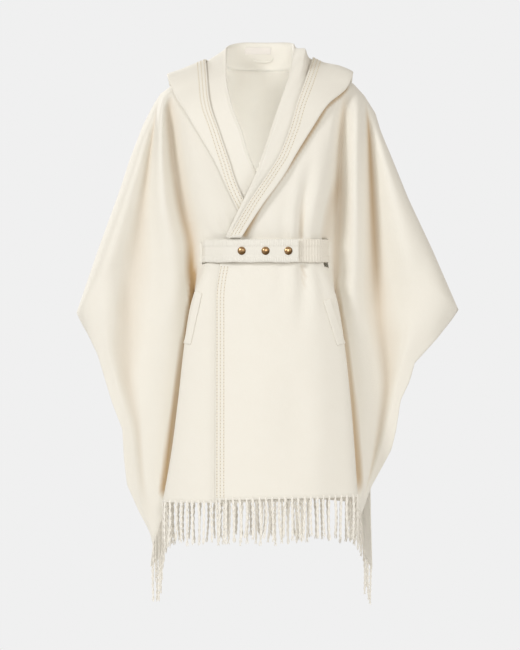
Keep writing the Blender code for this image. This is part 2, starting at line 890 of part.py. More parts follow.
def hood_places(left, right, back):
    """Per station: key, first point, roll, outer fold, back share, edge stand-off, trees."""
    keys = [row[0] for row in HOOD]
    values = [(*row[1], *row[2], row[3], row[4]) for row in HOOD]
    left_tree, right_tree, back_tree = (surface_tree(grid) for grid in (left, right, back))
    stations = []
    needs = []
    for key, seam in neck_stations(left, right, back):
        found = smooth(keys, values, key)
        trees = [back_tree]
        if key > -0.9:
            trees.append(left_tree)
        if key < 0.9:
            trees.append(right_tree)
        stations.append((key, seam, found, trees))
        rolled = abs(key) > LAPEL_START
        needs.append(lift_off(found[:3], lay_way(key), trees, LAYER_STEP / 2) if rolled else 0.0)
    lifts = evened(np.array(needs), ROLL_PASSES)
    places = []
    for (key, seam, found, trees), lift in zip(stations, lifts):
        roll = found[:3] + lay_way(key) * lift
        start = seam + off_seam(seam, roll, trees)
        places.append((key, start, roll, found[3:6], found[6], found[7], trees))
    return places


def under_layer(places):
    """Under layer of the hood, laid off the panels, and its shares of the way out."""
    straight = []
    shares = []
    ways = []
    needs = []
    for key, _, roll, fold, _, _, trees in places:
        rest = LAPEL_REST if abs(key) > LAPEL_START else POUCH_REST
        way = lay_way(key)
        parts = under_shares(roll, fold)
        row = [roll + (fold - roll) * part for part in parts]
        straight.append(row)
        shares.append(parts)
        ways.append(way)
        needs.append([lift_off(point, way, trees, rest) for point in row])
    lifts = evened(np.array(needs), LAY_PASSES)
    return np.array(straight) + np.array(ways)[:, None] * lifts[:, :, None], shares


def hood_grid(left, right, back):
    """Grid of the hood: seam, stand, roll, under layer, outer fold, top layer, free edge."""
    half = LAYER_STEP / 2
    places = hood_places(left, right, back)
    under_grid, all_shares = under_layer(places)
    sheet_out = even_out(grid_normals(under_grid), 3)
    rows = []
    for under, out, shares, place in zip(under_grid, sheet_out, all_shares, places):
        _, start, roll, _, back_share, stand_off, _ = place
        towards = (roll - start) / np.linalg.norm(roll - start)
        inside = roll - towards * half
        inner_leg = inside - out[0] * half
        outer_leg = inside + out[0] * half
        row = [start, (start + inner_leg) / 2]
        row.extend(half_turn(inner_leg, outer_leg, roll))
        row.extend(under[:-1])
        end = under[-1]
        run = (end - under[-2]) / np.linalg.norm(end - under[-2])
        row.extend(half_turn(end, end + out[-1] * LAYER_STEP, end + run))
        for part in (0.34, 0.68, 1.0):
            at = 1.0 - back_share * part
            base = smooth(shares, under, at)
            lean = smooth(shares, out, at)
            lean = lean / np.linalg.norm(lean)
            row.append(base + lean * (LAYER_STEP + (stand_off - LAYER_STEP) * part))
        rows.append(row)
    return np.array(rows)


def strap_section(low, high, thickness, border, raise_by):
    """Closed outline of a band with raised borders: offset outwards and height."""
    back = -thickness / 2
    face = thickness / 2
    return (
        (back, high),
        (face + raise_by, high),
        (face + raise_by, high - border),
        (face, high - border - 0.001),
        (face, low + border + 0.001),
        (face + raise_by, low + border),
        (face + raise_by, low),
        (back, low),
    )


def add_strap(name, points, runs, section, material):
    """Band that follows points seen from above, square to its runs, with closed ends."""
    out = np.stack([runs[:, 1], -runs[:, 0]], axis=1)
    vertices = []
    for place, side in zip(points, out):
        vertices.extend((*(place + side * offset), z) for offset, z in section)
    size = len(section)
    faces = [tuple(range(size))[::-1], tuple(range(len(vertices) - size, len(vertices)))]
    for i in range(len(points) - 1):
        for k in range(size):
            a = i * size + k
            b = i * size + (k + 1) % size
            faces.append((a, b, b + size, a + size))
    return add_object(name, vertices, faces, material)


def belt_front(x, layer, trees):
    """Point of the belt's centre line in front of the panels, seen from above."""
    depths = []
    for z in np.linspace(BELT_TOP, BELT_TOP - BELT_HEIGHT, 4):
        for beside in (-BELT_FEEL, 0.0, BELT_FEEL):
            for tree in trees:
                hit = tree.ray_cast(Vector((x + beside, -0.6, z)), Vector((0, 1, 0)))[0]
                if hit is not None:
                    depths.append(hit.y)
    stand = CLOTH / 2 + BELT_THICKNESS / 2 + BELT_CLEARANCE + layer * LAYER_STEP
    return np.array((x, min(depths) - stand))


def through(points, count):
    """Evenly placed points of a smooth curve through given ones."""
    points = np.array(points)
    steps = np.linalg.norm(np.diff(points, axis=0), axis=1)
    keys = np.concatenate([[0.0], np.cumsum(steps)])
    return smooth(keys, points, np.linspace(0.0, keys[-1], count))


def belt_path(trees):
    """Belt's centre line from the end under the tab, round the back, to the tab's end."""
    points = [belt_front(x, 0.0, trees) for x in np.linspace(UNDER_END_X, FRONT_REACH, 10)]
    points.extend(np.array(p) for p in BELT_BACK)
    for x in np.linspace(-FRONT_REACH, TAB_END_X, 11):
        layer = min(max((x + 0.098) / 0.030, 0.0), 1.0)
        points.append(belt_front(x, layer, trees))
    path = through(points, BELT_STATIONS)
    runs = np.gradient(path, axis=0)
    return path, runs / np.linalg.norm(runs, axis=1, keepdims=True)


def add_belt(path, runs, band, elastic):
    """Belt in two lengths: the elastic one starts under the tab, the band ends as the tab."""
    low = BELT_TOP - BELT_HEIGHT
    section = strap_section(low, BELT_TOP, BELT_THICKNESS, BELT_BORDER, BELT_BORDER_RAISE)
    first = path[: ELASTIC_STATIONS + 1].copy()
    second = path[ELASTIC_STATIONS:].copy()
    part = runs[ELASTIC_STATIONS] * SEAM_GAP / 2
    first[-1] -= part
    second[0] += part
    add_strap("belt_elastic", first, runs[: ELASTIC_STATIONS + 1], section, elastic)
    add_strap("belt_band", second, runs[ELASTIC_STATIONS:], section, band)


def add_snap(name, x, path, runs, material):
    """Domed cap that sits on the tab's face."""
    tab = slice(len(path) - TAB_STATIONS, len(path))
    place = smooth(path[tab][:, 0], path[tab], x)
    run = smooth(path[tab][:, 0], runs[tab], x)
    along = np.array((run[0], run[1], 0.0)) / np.linalg.norm(run)
    out = np.array((along[1], -along[0], 0.0))
    seat = np.array((place[0], place[1], BELT_TOP - BELT_HEIGHT / 2))
    seat = seat + out * (BELT_THICKNESS / 2 + SEAM_GAP)
    up = np.array((0.0, 0.0, 1.0))
    sides = 16
    vertices = [seat]
    for radius, height in SNAP_PROFILE:
        for k in range(sides):
            turn = 2 * math.pi * k / sides
            around = along * math.cos(turn) + up * math.sin(turn)
            vertices.append(seat + around * SNAP_RADIUS * radius + out * SNAP_HEIGHT * height)
    vertices.append(seat + out * SNAP_HEIGHT)
    faces = []
    last = 1 + (len(SNAP_PROFILE) - 1) * sides
    for k in range(sides):
        nxt = (k + 1) % sides
        faces.append((0, 1 + nxt, 1 + k))
        for ring in range(len(SNAP_PROFILE) - 1):
            a = 1 + ring * sides
            faces.append((a + k, a + nxt, a + sides + nxt, a + sides + k))
        faces.append((last + k, last + nxt, len(vertices) - 1))
    add_object(name, vertices, faces, material)


def face_patch(tree, corners, stand_off, cells):
    """Grid over a panel's face: corner places (x, z) looked up from the front."""
    top_left, top_right, low_left, low_right = (np.array(c) for c in corners)
    rows = []
    for i in range(cells[0] + 1):
        down = i / cells[0]
        row = []
        for j in range(cells[1] + 1):
            along = j / cells[1]
            left = top_left + (low_left - top_left) * down
            right = top_right + (low_right - top_right) * down
            x, z = left + (right - left) * along
            hit, normal, _, _ = tree.ray_cast(Vector((x, -0.6, z)), Vector((0, 1, 0)))
            row.append(np.array(hit + normal * stand_off))
        rows.append(row)
    return np.array(rows)


def add_welt(name, grid, place, material):
    """Pocket welt on a front, made from the panel's own surface moved out."""
    centre, run, length, width = place
    run = np.array(run) / np.linalg.norm(run)
    cross = np.array((-run[1], run[0]))
    start = np.array(centre)
    corners = (
        start - cross * width / 2,
        start + cross * width / 2,
        start + run * length - cross * width / 2,
        start + run * length + cross * width / 2,
    )
    stand = CLOTH + SEAM_GAP + WELT_CLEARANCE
    patch = face_patch(surface_tree(grid), corners, stand, (8, 3))
    add_wall(name, patch, grid_normals(patch), CLOTH, material)


def add_neck_piece(name, hood, x_range, z_range, thickness, bow, material):
    """Flat piece on the inside of the stand at the back of the neck."""
    stand = hood[:, :3]
    tree = surface_tree(stand)
    rows = []
    for z in np.linspace(z_range[1], z_range[0], 3):
        row = []
        for x in np.linspace(x_range[0], x_range[1], 9):
            hit = tree.ray_cast(Vector((x, 0.0, z)), Vector((0, 1, 0)))[0]
            middle = 1.0 - (2.0 * (x - x_range[0]) / (x_range[1] - x_range[0]) - 1.0) ** 2
            off = CLOTH / 2 + SEAM_GAP + thickness / 2 + bow * middle
            row.append((x, hit.y - off - NECK_CLEARANCE, z))
        rows.append(row)
    grid = np.array(rows)
    add_wall(name, grid, grid_normals(grid), thickness, material)


def hem_points(grid, normals):
    """Last row of a grid with its way down and its normal."""
    down = grid[-1] - grid[-2]
    down = down / np.linalg.norm(down, axis=1, keepdims=True)
    along = np.gradient(grid[-1], axis=0)
    along = along / np.linalg.norm(along, axis=1, keepdims=True)
    down = down - along * np.sum(down * along, axis=1, keepdims=True)
    down = down / np.linalg.norm(down, axis=1, keepdims=True)
    return np.concatenate([grid[-1], down, normals[-1]], axis=1)


def add_fringe(name, hem, pitch, seed, material):
    """Strip below a hem, with strands that grow out of its lower face."""
    chance = random.Random(seed)
    steps = np.linalg.norm(np.diff(hem[:, :3], axis=0), axis=1)
    keys = np.concatenate([[0.0], np.cumsum(steps)])
    count = int((keys[-1] - STRAND_WIDTH - 0.002) / pitch) + 1
    margin = (keys[-1] - (count - 1) * pitch - STRAND_WIDTH) / 2
    stops = [0.0]
    for k in range(count):
        start = margin + k * pitch
        stops.extend((start, start + STRAND_WIDTH))
    stops.append(keys[-1])
    places = np.array([[np.interp(s, keys, column) for column in hem.T] for s in stops])
    half = CLOTH / 2
    vertices = []
    for place in places:
        point, down, out = place[:3], place[3:6], place[6:]
        top = point + down * STRIP_GAP
        foot = top + down * STRIP_HEIGHT
        vertices.extend((top + out * half, top - out * half, foot - out * half, foot + out * half))
    faces = [(0, 1, 2, 3)]
    last = len(vertices) - 4
    faces.append((last + 3, last + 2, last + 1, last))
    for s in range(len(stops) - 1):
        a = 4 * s
        sides = (0, 1, 3) if s % 2 else (0, 1, 2, 3)
        for k in sides:
            nxt = (k + 1) % 4
            faces.append((a + nxt, a + k, a + 4 + k, a + 4 + nxt))
        if s % 2:
            add_strand(vertices, faces, a, places[s], places[s + 1], chance)
    return add_object(name, vertices, faces, material)


def add_strand(vertices, faces, a, near, far, chance):
    """Four-sided strand below the strip's cell that starts at vertex a."""
    ring = [a + 2, a + 3, a + 7, a + 6]
    centre = (near[:3] + far[:3]) / 2
    along = far[:3] - near[:3]
    along = along / np.linalg.norm(along)
    out = (near[6:] + far[6:]) / 2
    out[2] = 0.0
    out = out / np.linalg.norm(out)
    length = STRAND_LENGTH * chance.uniform(0.90, 1.06)
    lean = along * chance.uniform(-0.0026, 0.0026) + out * chance.uniform(-0.002, 0.002)
    bend = along * chance.uniform(-0.0016, 0.0016)
    for share, width in STRAND_RINGS:
        place = centre + lean * share + bend * math.sin(math.pi * share)
        place = place - np.array((0.0, 0.0, STRIP_HEIGHT + length * share))
        start = len(vertices)
        side = along * width / 2
        depth = out * STRAND_DEPTH / 2
        vertices.extend((place - side - depth, place - side + depth))
        vertices.extend((place + side + depth, place + side - depth))
        nxt = [start, start + 1, start + 2, start + 3]
        for k in range(4):
            m = (k + 1) % 4
            faces.append((ring[m], ring[k], nxt[k], nxt[m]))
        ring = nxt
    faces.append(tuple(reversed(ring)))


def new_material(name, colour, roughness, metallic=0.0):
    """Plain surface of one colour."""
    material = bpy.data.materials.new(name)
    material.use_nodes = True
    shader = material.node_tree.nodes["Principled BSDF"]
    shader.inputs["Base Color"].default_value = (*colour, 1.0)
    shader.inputs["Roughness"].default_value = roughness
    shader.inputs["Metallic"].default_value = metallic
    material.diffuse_color = (*colour, 1.0)
    return material


def build():
    """Build every piece of the cape."""
    for thing in list(bpy.data.objects):
        bpy.data.objects.remove(thing)
    cloth = new_material("cloth", CREAM, 0.95)
    fringe = new_material("fringe", FRINGE_CREAM, 0.95)
    ribbing = new_material("ribbing", OFF_WHITE, 0.9)
    elastic = new_material("elastic", ELASTIC_CREAM, 0.9)
    label = new_material("label", SATIN, 0.6)
    brass = new_material("brass", BRASS, 0.35, 1.0)

    left, left_corner = front_grid(
        LEFT_FRONT, LEFT_ARM, LEFT_FRONT_EDGE, LEFT_SLIT, 1.0, over=True
    )
    right, right_corner = front_grid(
        RIGHT_FRONT, RIGHT_ARM, RIGHT_FRONT_EDGE, RIGHT_SLIT, -1.0, over=False
    )
    right = right[:, ::-1]
    back, back_corner = back_grid()

    columns = left.shape[1]
    slit = frozenset((i, j) for i in SLIT_ROWS for j in SLIT_COLUMNS)
    mirrored = frozenset((i, columns - 2 - j) for i, j in slit)

    left_out = wall_normals(left, ((0, slice(None)), (slice(0, left_corner + 1), -1)))
    add_wall("front_left", left, left_out, CLOTH, cloth, slit)
    right_out = wall_normals(right, ((0, slice(None)), (slice(0, right_corner + 1), 0)))
    add_wall("front_right", right, right_out, CLOTH, cloth, mirrored)

    beside = np.flatnonzero(np.abs(back[0, :, 0]) >= NECK_POINT_X)
    middle = back.shape[1] // 2
    back_seams = (
        (0, beside[beside < middle]),
        (0, beside[beside > middle]),
        (slice(0, back_corner + 1), 0),
        (slice(0, back_corner + 1), -1),
    )
    back_out = wall_normals(back, back_seams)
    add_wall("back_panel", back, back_out, CLOTH, cloth)

    hood = hood_grid(left, right, back)
    add_wall("hood", hood, grid_normals(hood), CLOTH, cloth)

    path, runs = belt_path([surface_tree(left), surface_tree(right)])
    add_belt(path, runs, ribbing, elastic)
    for number, x in enumerate(SNAP_X, start=1):
        add_snap(f"snap_{number}", x, path, runs, brass)
    add_welt("welt_left", left, LEFT_WELT, cloth)
    add_welt("welt_right", right, RIGHT_WELT, cloth)
    add_neck_piece("neck_label", hood, LABEL_X, LABEL_Z, LABEL_THICKNESS, 0.0, label)
    add_neck_piece("hanging_loop", hood, LOOP_X, LOOP_Z, LOOP_THICKNESS, LOOP_BOW, cloth)

    add_fringe("fringe_left", hem_points(left, left_out), FRONT_PITCH, 3, fringe)
    add_fringe("fringe_right", hem_points(right, right_out), FRONT_PITCH, 5, fringe)
    add_fringe("fringe_back", hem_points(back, back_out), BACK_PITCH, 7, fringe)


build()
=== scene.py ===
"""Hooded wrap cape: cloth shells, trims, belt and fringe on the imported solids.

Each shell is drafted from the same named lines as its solid, only finer, so that it lies on
the solid's form. Sizes are in metres and the long tables in millimetres. +Z is up, -Y is the
front, +X is the wearer's left.
"""

from __future__ import annotations

import logging
import math
import random
from collections.abc import Sequence
from dataclasses import dataclass, field
from enum import Enum

import bmesh
import bpy
import numpy as np
from bpy.types import Material, Node, NodeSocket, NodeTree, Object
from mathutils import Matrix, Vector
from mathutils.bvhtree import BVHTree

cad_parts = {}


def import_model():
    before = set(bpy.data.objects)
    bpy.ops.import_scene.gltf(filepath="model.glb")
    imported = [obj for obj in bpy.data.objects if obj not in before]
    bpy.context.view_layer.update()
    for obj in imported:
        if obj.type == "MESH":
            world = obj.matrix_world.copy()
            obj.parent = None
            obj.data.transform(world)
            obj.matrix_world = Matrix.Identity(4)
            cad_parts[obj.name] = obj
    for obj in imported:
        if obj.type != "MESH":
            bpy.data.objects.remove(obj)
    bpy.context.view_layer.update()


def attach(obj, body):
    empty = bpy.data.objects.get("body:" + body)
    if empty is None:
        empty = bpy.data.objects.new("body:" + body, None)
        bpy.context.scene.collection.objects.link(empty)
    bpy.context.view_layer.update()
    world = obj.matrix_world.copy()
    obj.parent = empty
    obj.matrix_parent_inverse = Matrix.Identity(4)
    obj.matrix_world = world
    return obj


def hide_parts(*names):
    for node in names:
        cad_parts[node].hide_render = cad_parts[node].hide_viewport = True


LOG = logging.getLogger("cape")
Table = tuple[tuple[float, ...], ...]
Lines = dict[str, Table]
Colour = tuple[float, float, float]
Array = np.ndarray


def metres(rows: Lines | Table | float) -> Lines | Table | float:
    """Tables of millimetres, or one of their numbers, in metres."""
    if isinstance(rows, dict):
        return {name: metres(table) for name, table in rows.items()}
    if isinstance(rows, tuple):
        return tuple(metres(item) for item in rows)
    return rows / 1000


# The shells have this many cells for each cell of a solid.
FINE = 4
SHELL = 0.0021
RIM_BULGE = 0.32
SHARP_ANGLE = 62
HOLLOW_LIMIT = 0.4

# Cloth and sewing
CLOTH = 0.0024
ARM_START = 0.026
SEAM_GAP = 0.0003
LAYER_STEP = 0.0052
TURN_GAP = 0.0017
LAPEL_REST = 0.0066
POUCH_REST = 0.0086
LAPEL_START = 1.25
LAPEL_STEP = 0.1
LAY_PASSES = 4
ROLL_PASSES = 6
STATION_STEP = 0.14
SHOULDER_DROP = 0.1
ARM_DROP = 0.07
BODY_POWER = 2.4

# Neck
NECK_POINT_X = 0.084
NECK_POINT_Z = 0.014
NECK_DOME = 0.022

# Belt
BELT_TOP = -0.33
BELT_HEIGHT = 0.046
BELT_THICKNESS = 0.003
BELT_CLEARANCE = 0.0005
BELT_FEEL = 0.008
# Half of the belt's face from its lower edge up: height, lift and share of the border's ribs.
BELT_PROFILE = (
    (0.0, -0.001, 0.6), (0.0012, 0.0004, 1.0), (0.006, 0.0006, 1.0), (0.0105, 0.0006, 1.0),
    (0.0132, 0.0005, 0.8), (0.0142, -0.0003, 0.2), (0.017, 0.0, 0.0), (0.023, 0.0001, 0.0),
)
TAB_END_X = 0.066
TAB_RISE_X = -0.098
TAB_RISE = 0.03
UNDER_END_X = -0.058
LEFT_SLIT = (-0.314, -0.392)
RIGHT_SLIT = (-0.324, -0.383)

# Snaps
SNAP_X = (-0.046, 0.001, 0.046)
SNAP_RADIUS = 0.0073

# Fringe
STRAND_WIDTH = 0.0066
STRAND_LENGTH = 0.08
FRONT_PITCH = 0.013
BACK_PITCH = 0.015

# The figure's general form: height, half width, depth in front and depth behind.
FORM = metres((
    (30, 205, 78, 92), (-60, 205, 96, 112), (-160, 192, 116, 124), (-260, 165, 108, 120),
    (-350, 142, 100, 118), (-450, 172, 111, 126), (-600, 196, 127, 142), (-860, 224, 150, 166),
))

# Shoulder and arm seam from the neck to the wing corner: height and distance from the middle.
LEFT_ARM = metres((
    (14, 84), (-18, 176), (-42, 198), (-77, 220), (-114, 231), (-164, 252), (-248, 286), (-350, 334),
    (-470, 386),
))
RIGHT_ARM = metres((
    (14, 84), (-22, 186), (-38, 208), (-56, 220), (-100, 243), (-170, 270), (-232, 290), (-350, 333),
    (-476, 376),
))

# Front fall lines: height, distance from the middle towards the panel's own side, depth.
# Lines without a depth lie on the figure's general form.
LEFT_FRONT = metres({
    "edge": (
        (14, 84), (-6, 62), (-62, 40), (-122, 19), (-200, -8), (-264, -38), (-328, -68), (-376, -88),
        (-450, -98), (-846, -98),
    ),
    "side": (
        (-9, 150), (-100, 134), (-220, 120), (-300, 112), (-376, 114), (-410, 128), (-450, 143),
        (-530, 157), (-650, 170), (-840, 184),
    ),
    "gap": (
        (-18, 176, -60), (-66, 158, -55), (-150, 150, -52), (-250, 147, -43), (-350, 143, -36),
        (-400, 141, -30), (-450, 137, -24), (-530, 143, -22), (-650, 151, -28), (-850, 166, -50),
    ),
    "ridge": (
        (-29, 186, -55), (-66, 182, -70), (-150, 180, -80), (-250, 180, -74), (-350, 180, -58),
        (-450, 176, -40), (-530, 184, -32), (-650, 196, -28), (-780, 198, -30), (-862, 185, -36),
    ),
    "hollow": (
        (-43, 199, -40), (-110, 206, -46), (-210, 212, -42), (-350, 220, -26), (-490, 230, -14),
        (-610, 240, -10), (-700, 228, -14), (-800, 208, -22), (-868, 188, -28),
    ),
    "crest": (
        (-72, 216, -30), (-130, 228, -46), (-210, 247, -60), (-350, 282, -64), (-440, 308, -58),
        (-530, 285, -46), (-610, 264, -34), (-700, 245, -28), (-800, 214, -24), (-872, 190, -22),
    ),
})
RIGHT_FRONT = metres({
    "edge": (
        (14, 84), (-6, 83), (-62, 76), (-122, 55), (-166, 42), (-202, 26), (-270, -20), (-330, -58),
        (-376, -76), (-450, -84), (-848, -92),
    ),
    "side": (
        (-10, 152), (-100, 150), (-220, 134), (-300, 114), (-376, 112), (-410, 127), (-450, 145),
        (-530, 160), (-650, 174), (-750, 186), (-852, 203),
    ),
    "gap": (
        (-20, 180, -56), (-70, 190, -44), (-150, 184, -41), (-250, 168, -37), (-350, 145, -36),
        (-400, 143, -30), (-450, 139, -20), (-530, 142, -16), (-650, 155, -18), (-858, 186, -46),
    ),
    "ridge": (
        (-29, 196, -45), (-70, 206, -60), (-150, 208, -72), (-250, 204, -72), (-350, 190, -58),
        (-450, 186, -42), (-530, 192, -34), (-650, 204, -30), (-800, 214, -30), (-884, 204, -34),
    ),
    "hollow": (
        (-40, 209, -35), (-110, 222, -48), (-230, 240, -48), (-350, 256, -36), (-490, 268, -24),
        (-590, 268, -18), (-700, 250, -18), (-820, 240, -22), (-908, 212, -28),
    ),
    "crest": (
        (-52, 217, -30), (-130, 240, -50), (-230, 268, -62), (-350, 304, -62), (-430, 322, -54),
        (-520, 316, -44), (-620, 294, -34), (-720, 266, -28), (-830, 254, -26), (-926, 219, -24),
    ),
})

# Front side edges from the wing corner to the front's lower corner.
LEFT_FRONT_EDGE = metres((
    (-470, 386, 0), (-490, 372, -14), (-530, 340, -34), (-576, 298, -38), (-612, 288, -36),
    (-650, 270, -34), (-710, 261, -30), (-748, 252, -27), (-782, 234, -24), (-822, 212, -20),
    (-878, 192, -16),
))
RIGHT_FRONT_EDGE = metres((
    (-476, 376, 0), (-496, 366, -16), (-520, 352, -30), (-560, 333, -36), (-610, 318, -36),
    (-656, 304, -34), (-708, 284, -32), (-764, 281, -30), (-818, 275, -27), (-870, 252, -24),
    (-916, 228, -20), (-938, 224, -18),
))

# Back fall lines, used for both sides, from the middle outwards.
BACK = metres({
    "centre": ((10, 0), (-848, 0)),
    "blade": ((11, 48), (-200, 70), (-850, 82)),
    "neck": ((14, 84), (-150, 94), (-852, 112)),
    "side": ((-2, 130), (-150, 130), (-350, 112), (-600, 136), (-855, 150)),
    "gap": (
        (-16, 170, 60), (-70, 166, 78), (-150, 162, 84), (-350, 156, 80), (-600, 168, 94),
        (-858, 178, 112),
    ),
    "ridge": (
        (-27, 189, 50), (-70, 190, 66), (-150, 194, 84), (-350, 198, 92), (-600, 206, 88), (-800, 198, 94),
        (-866, 193, 96),
    ),
    "hollow": (
        (-40, 202, 40), (-110, 212, 46), (-210, 222, 50), (-350, 242, 48), (-500, 250, 52),
        (-700, 226, 62), (-850, 208, 76), (-906, 204, 80),
    ),
    "crest": (
        (-60, 215, 30), (-130, 232, 46), (-210, 253, 58), (-350, 294, 66), (-440, 312, 66),
        (-520, 292, 66), (-700, 246, 62), (-850, 220, 56), (-966, 210, 53),
    ),
})
# Outermost line that the back's wing lines are drawn for; each side is spread to its own.
BACK_REFERENCE = metres((
    (-60, 218), (-130, 240), (-210, 274), (-350, 337), (-473, 381), (-530, 332), (-660, 284), (-850, 240),
    (-984, 226),
))
LEFT_BACK_EDGE = metres((
    (-470, 386, 0), (-500, 352, 26), (-566, 286, 50), (-640, 262, 54), (-720, 244, 52), (-822, 211, 44),
    (-900, 212, 38), (-988, 214, 30),
))
RIGHT_BACK_EDGE = metres((
    (-476, 376, 0), (-506, 346, 26), (-566, 314, 48), (-660, 286, 56), (-760, 262, 52), (-860, 238, 44),
    (-940, 224, 36), (-984, 229, 30),
))

# How far the over front stands off the form, where it lies on the other front: height, lift.
# The lift fades out towards the side.
OVERLAP_END = 0.146
OVERLAP_FADE = 0.046
OVERLAP_LIFT = metres((
    (-100, 0), (-160, 10), (-205, 15.5), (-300, 16), (-332, 9), (-400, 7), (-860, 7),
))

# Hood and lapel stations round the neck. Station -1 and 1 are the neck points, the back lies
# between them, and beyond them a whole step is 0.1 m down a lapel. Columns: station, roll
# (x, y, z), outer fold (x, y, z), share of the way back to the roll at which the free edge
# ends, and how far the free edge stands off the layer under it. Lengths in millimetres.
HOOD = (
    (-3.82, (30, -104, -272), (-26, -104, -306), 0.26, 5),
    (-3.5, (11, -105, -238), (-50, -104, -272), 0.25, 5),
    (-3.16, (-15, -106, -202), (-71, -104, -229), 0.28, 5),
    (-2.8, (-32, -104, -166), (-94, -100, -179), 0.38, 5),
    (-2.36, (-44, -96, -122), (-126, -90, -124), 0.47, 5),
    (-1.76, (-66, -78, -62), (-158, -72, -70), 0.56, 6),
    (-1.18, (-77, -48, 8), (-176, -36, -42), 0.64, 5.2),
    (-1.0, (-77, 0, 50), (-186, 8, -18), 0.64, 5.2),
    (-0.7, (-64, 40, 62), (-168, 92, -92), 0.68, 14),
    (-0.35, (-34, 62, 67), (-104, 146, -190), 0.72, 46),
    (0.0, (0, 68, 67), (0, 156, -240), 0.72, 56),
    (0.35, (34, 62, 67), (104, 146, -190), 0.72, 46),
    (0.7, (56, 40, 63), (160, 88, -88), 0.68, 14),
    (1.0, (57, 0, 50), (166, 4, -14), 0.68, 5.2),
    (1.18, (50, -55, 6), (160, -36, -30), 0.72, 5.2),
    (1.76, (28, -80, -62), (122, -78, -62), 0.64, 6),
    (2.36, (8, -98, -122), (82, -94, -122), 0.51, 5),
    (2.82, (-7, -108, -168), (54, -104, -168), 0.46, 5),
    (3.14, (-18, -112, -200), (36, -108, -200), 0.56, 5),
    (3.78, (-48, -112, -264), (-10, -110, -264), 0.7, 5),
    (4.4, (-78, -104, -326), (-50, -104, -326), 0.8, 5),
)

# Way in which the hood is laid off the panels: station's distance from the middle of the
# back, then the way (x towards its own side, y, z).
LAY_WAYS = (
    (0.0, (0.0, 1.0, 0.15)), (0.6, (0.22, 0.85, 0.4)), (1.0, (0.34, 0.05, 0.94)),
    (1.3, (0.26, -0.75, 0.6)), (1.8, (0.12, -1.0, 0.15)), (4.5, (0.0, -1.0, 0.0)),
)
LAY_REACH = 0.12
RAY_START = -0.6
EDGE_REACH = 0.02

# Belt centre line behind the fronts, from the left slit round the back to the right one.
BELT_BACK = metres((
    (116, -85), (123, -71), (127, -40), (131, 0), (127, 34), (108, 64), (74, 86), (26, 96), (-26, 96),
    (-74, 86), (-108, 64), (-127, 34), (-131, 0), (-127, -40), (-121.5, -64), (-116.5, -79),
))
FRONT_REACH = 0.104
BELT_STATIONS = 56
ELASTIC_STATIONS = 20
TAB_STATIONS = 11

# Pocket welts: centre of the top end (x, z), run (x, z), length and width.
LEFT_WELT = ((0.122, -0.451), (0.3, -0.954), 0.092, 0.0145)
RIGHT_WELT = ((-0.1305, -0.436), (-0.214, -0.977), 0.104, 0.012)

# Rounding over the arm: shares across and in depth, and their change past the corner
ROLL_ACROSS = 0.84
ROLL_ACROSS_CHANGE = -0.24
ROLL_DEEP = 0.46
ROLL_DEEP_CHANGE = 0.14
ROLL_FADE = 0.16

# Cells between fall lines, and where the arm seam starts in the first row
FRONT_CELLS = (3, 3, 3, 2, 2, 2, 2, 2, 1)
BACK_CELLS = (3, 2, 2, 1, 2, 2, 2, 2, 1)
FRONT_SEAM_CELL = 9
BACK_SEAM_CELL = 8
BACK_CORNER = 0.4
JOIN_START_CELL = 15
JOIN_CELLS = 2
WING_CELL = 10.2
SLIT_ROWS = (11, 12, 13)
SLIT_COLUMNS = (9, 10)
UNDER_POINTS = 7
TOP_LAYER_PARTS = (0.34, 0.68, 1.0)
SWAY_WAVES = 7


def unit(ways: Array) -> Array:
    """Vectors along the last axis, brought to length 1."""
    return ways / np.maximum(np.linalg.norm(ways, axis=-1, keepdims=True), 1e-12)


def read_at(where: float, keys: Array, rows: Array) -> Array:
    """Values at a place between the keys of rows, read without a curve."""
    return np.array([np.interp(where, keys, column) for column in rows.T])


def smooth(table_keys: Sequence, table_values: Sequence, at: float | Array) -> Array:
    """Monotone cubic through a table whose keys rise.

    Args:
        table_keys: Rising keys.
        table_values: Values, one or several columns.
        at: Where to read it.

    Returns:
        The value, or one row of values for each place.
    """
    keys = np.asarray(table_keys, float)
    values = np.asarray(table_values, float)
    single = values.ndim == 1
    if single:
        values = values[:, None]
    where = np.clip(np.atleast_1d(np.asarray(at, float)), keys[0], keys[-1])
    step = np.diff(keys)
    rise = np.diff(values, axis=0) / step[:, None]
    slope = np.zeros_like(values)
    slope[0] = rise[0]
    slope[-1] = rise[-1]
    if len(keys) > 2:
        before = rise[:-1]
        after = rise[1:]
        same = before * after > 0
        total = np.where(same, before + after, 1.0)
        slope[1:-1] = np.where(same, 2.0 * before * after / total, 0.0)
    cell = np.clip(np.searchsorted(keys, where, side="right") - 1, 0, len(keys) - 2)
    share = ((where - keys[cell]) / step[cell])[:, None]
    width = step[cell][:, None]
    low = values[cell]
    high = values[cell + 1]
    result = (
        low * (1 + 2 * share) * (1 - share) ** 2
        + high * share**2 * (3 - 2 * share)
        + slope[cell] * width * share * (1 - share) ** 2
        - slope[cell + 1] * width * share**2 * (1 - share)
    )
    if single:
        result = result[:, 0]
    return result if np.ndim(at) else result[0]


def by_height(rows: Table, z: float, straight: bool = False) -> Array:
    """Values of a table whose rows fall in height.

    Args:
        rows: Rows that start with a height.
        z: Height to read.
        straight: Read between rows without a curve.

    Returns:
        The other columns at that height.
    """
    table = np.array(rows, float)[::-1]
    if straight:
        return read_at(z, table[:, 0], table[:, 1:])
    return smooth(table[:, 0], table[:, 1:], z)


def rounding(drop: float, reach: float) -> float:
    """Quarter circle from 0 on the seam to 1 where the cloth has turned and hangs."""
    share = min(max(drop / reach, 0.0), 1.0)
    return math.sqrt(share * (2.0 - share))


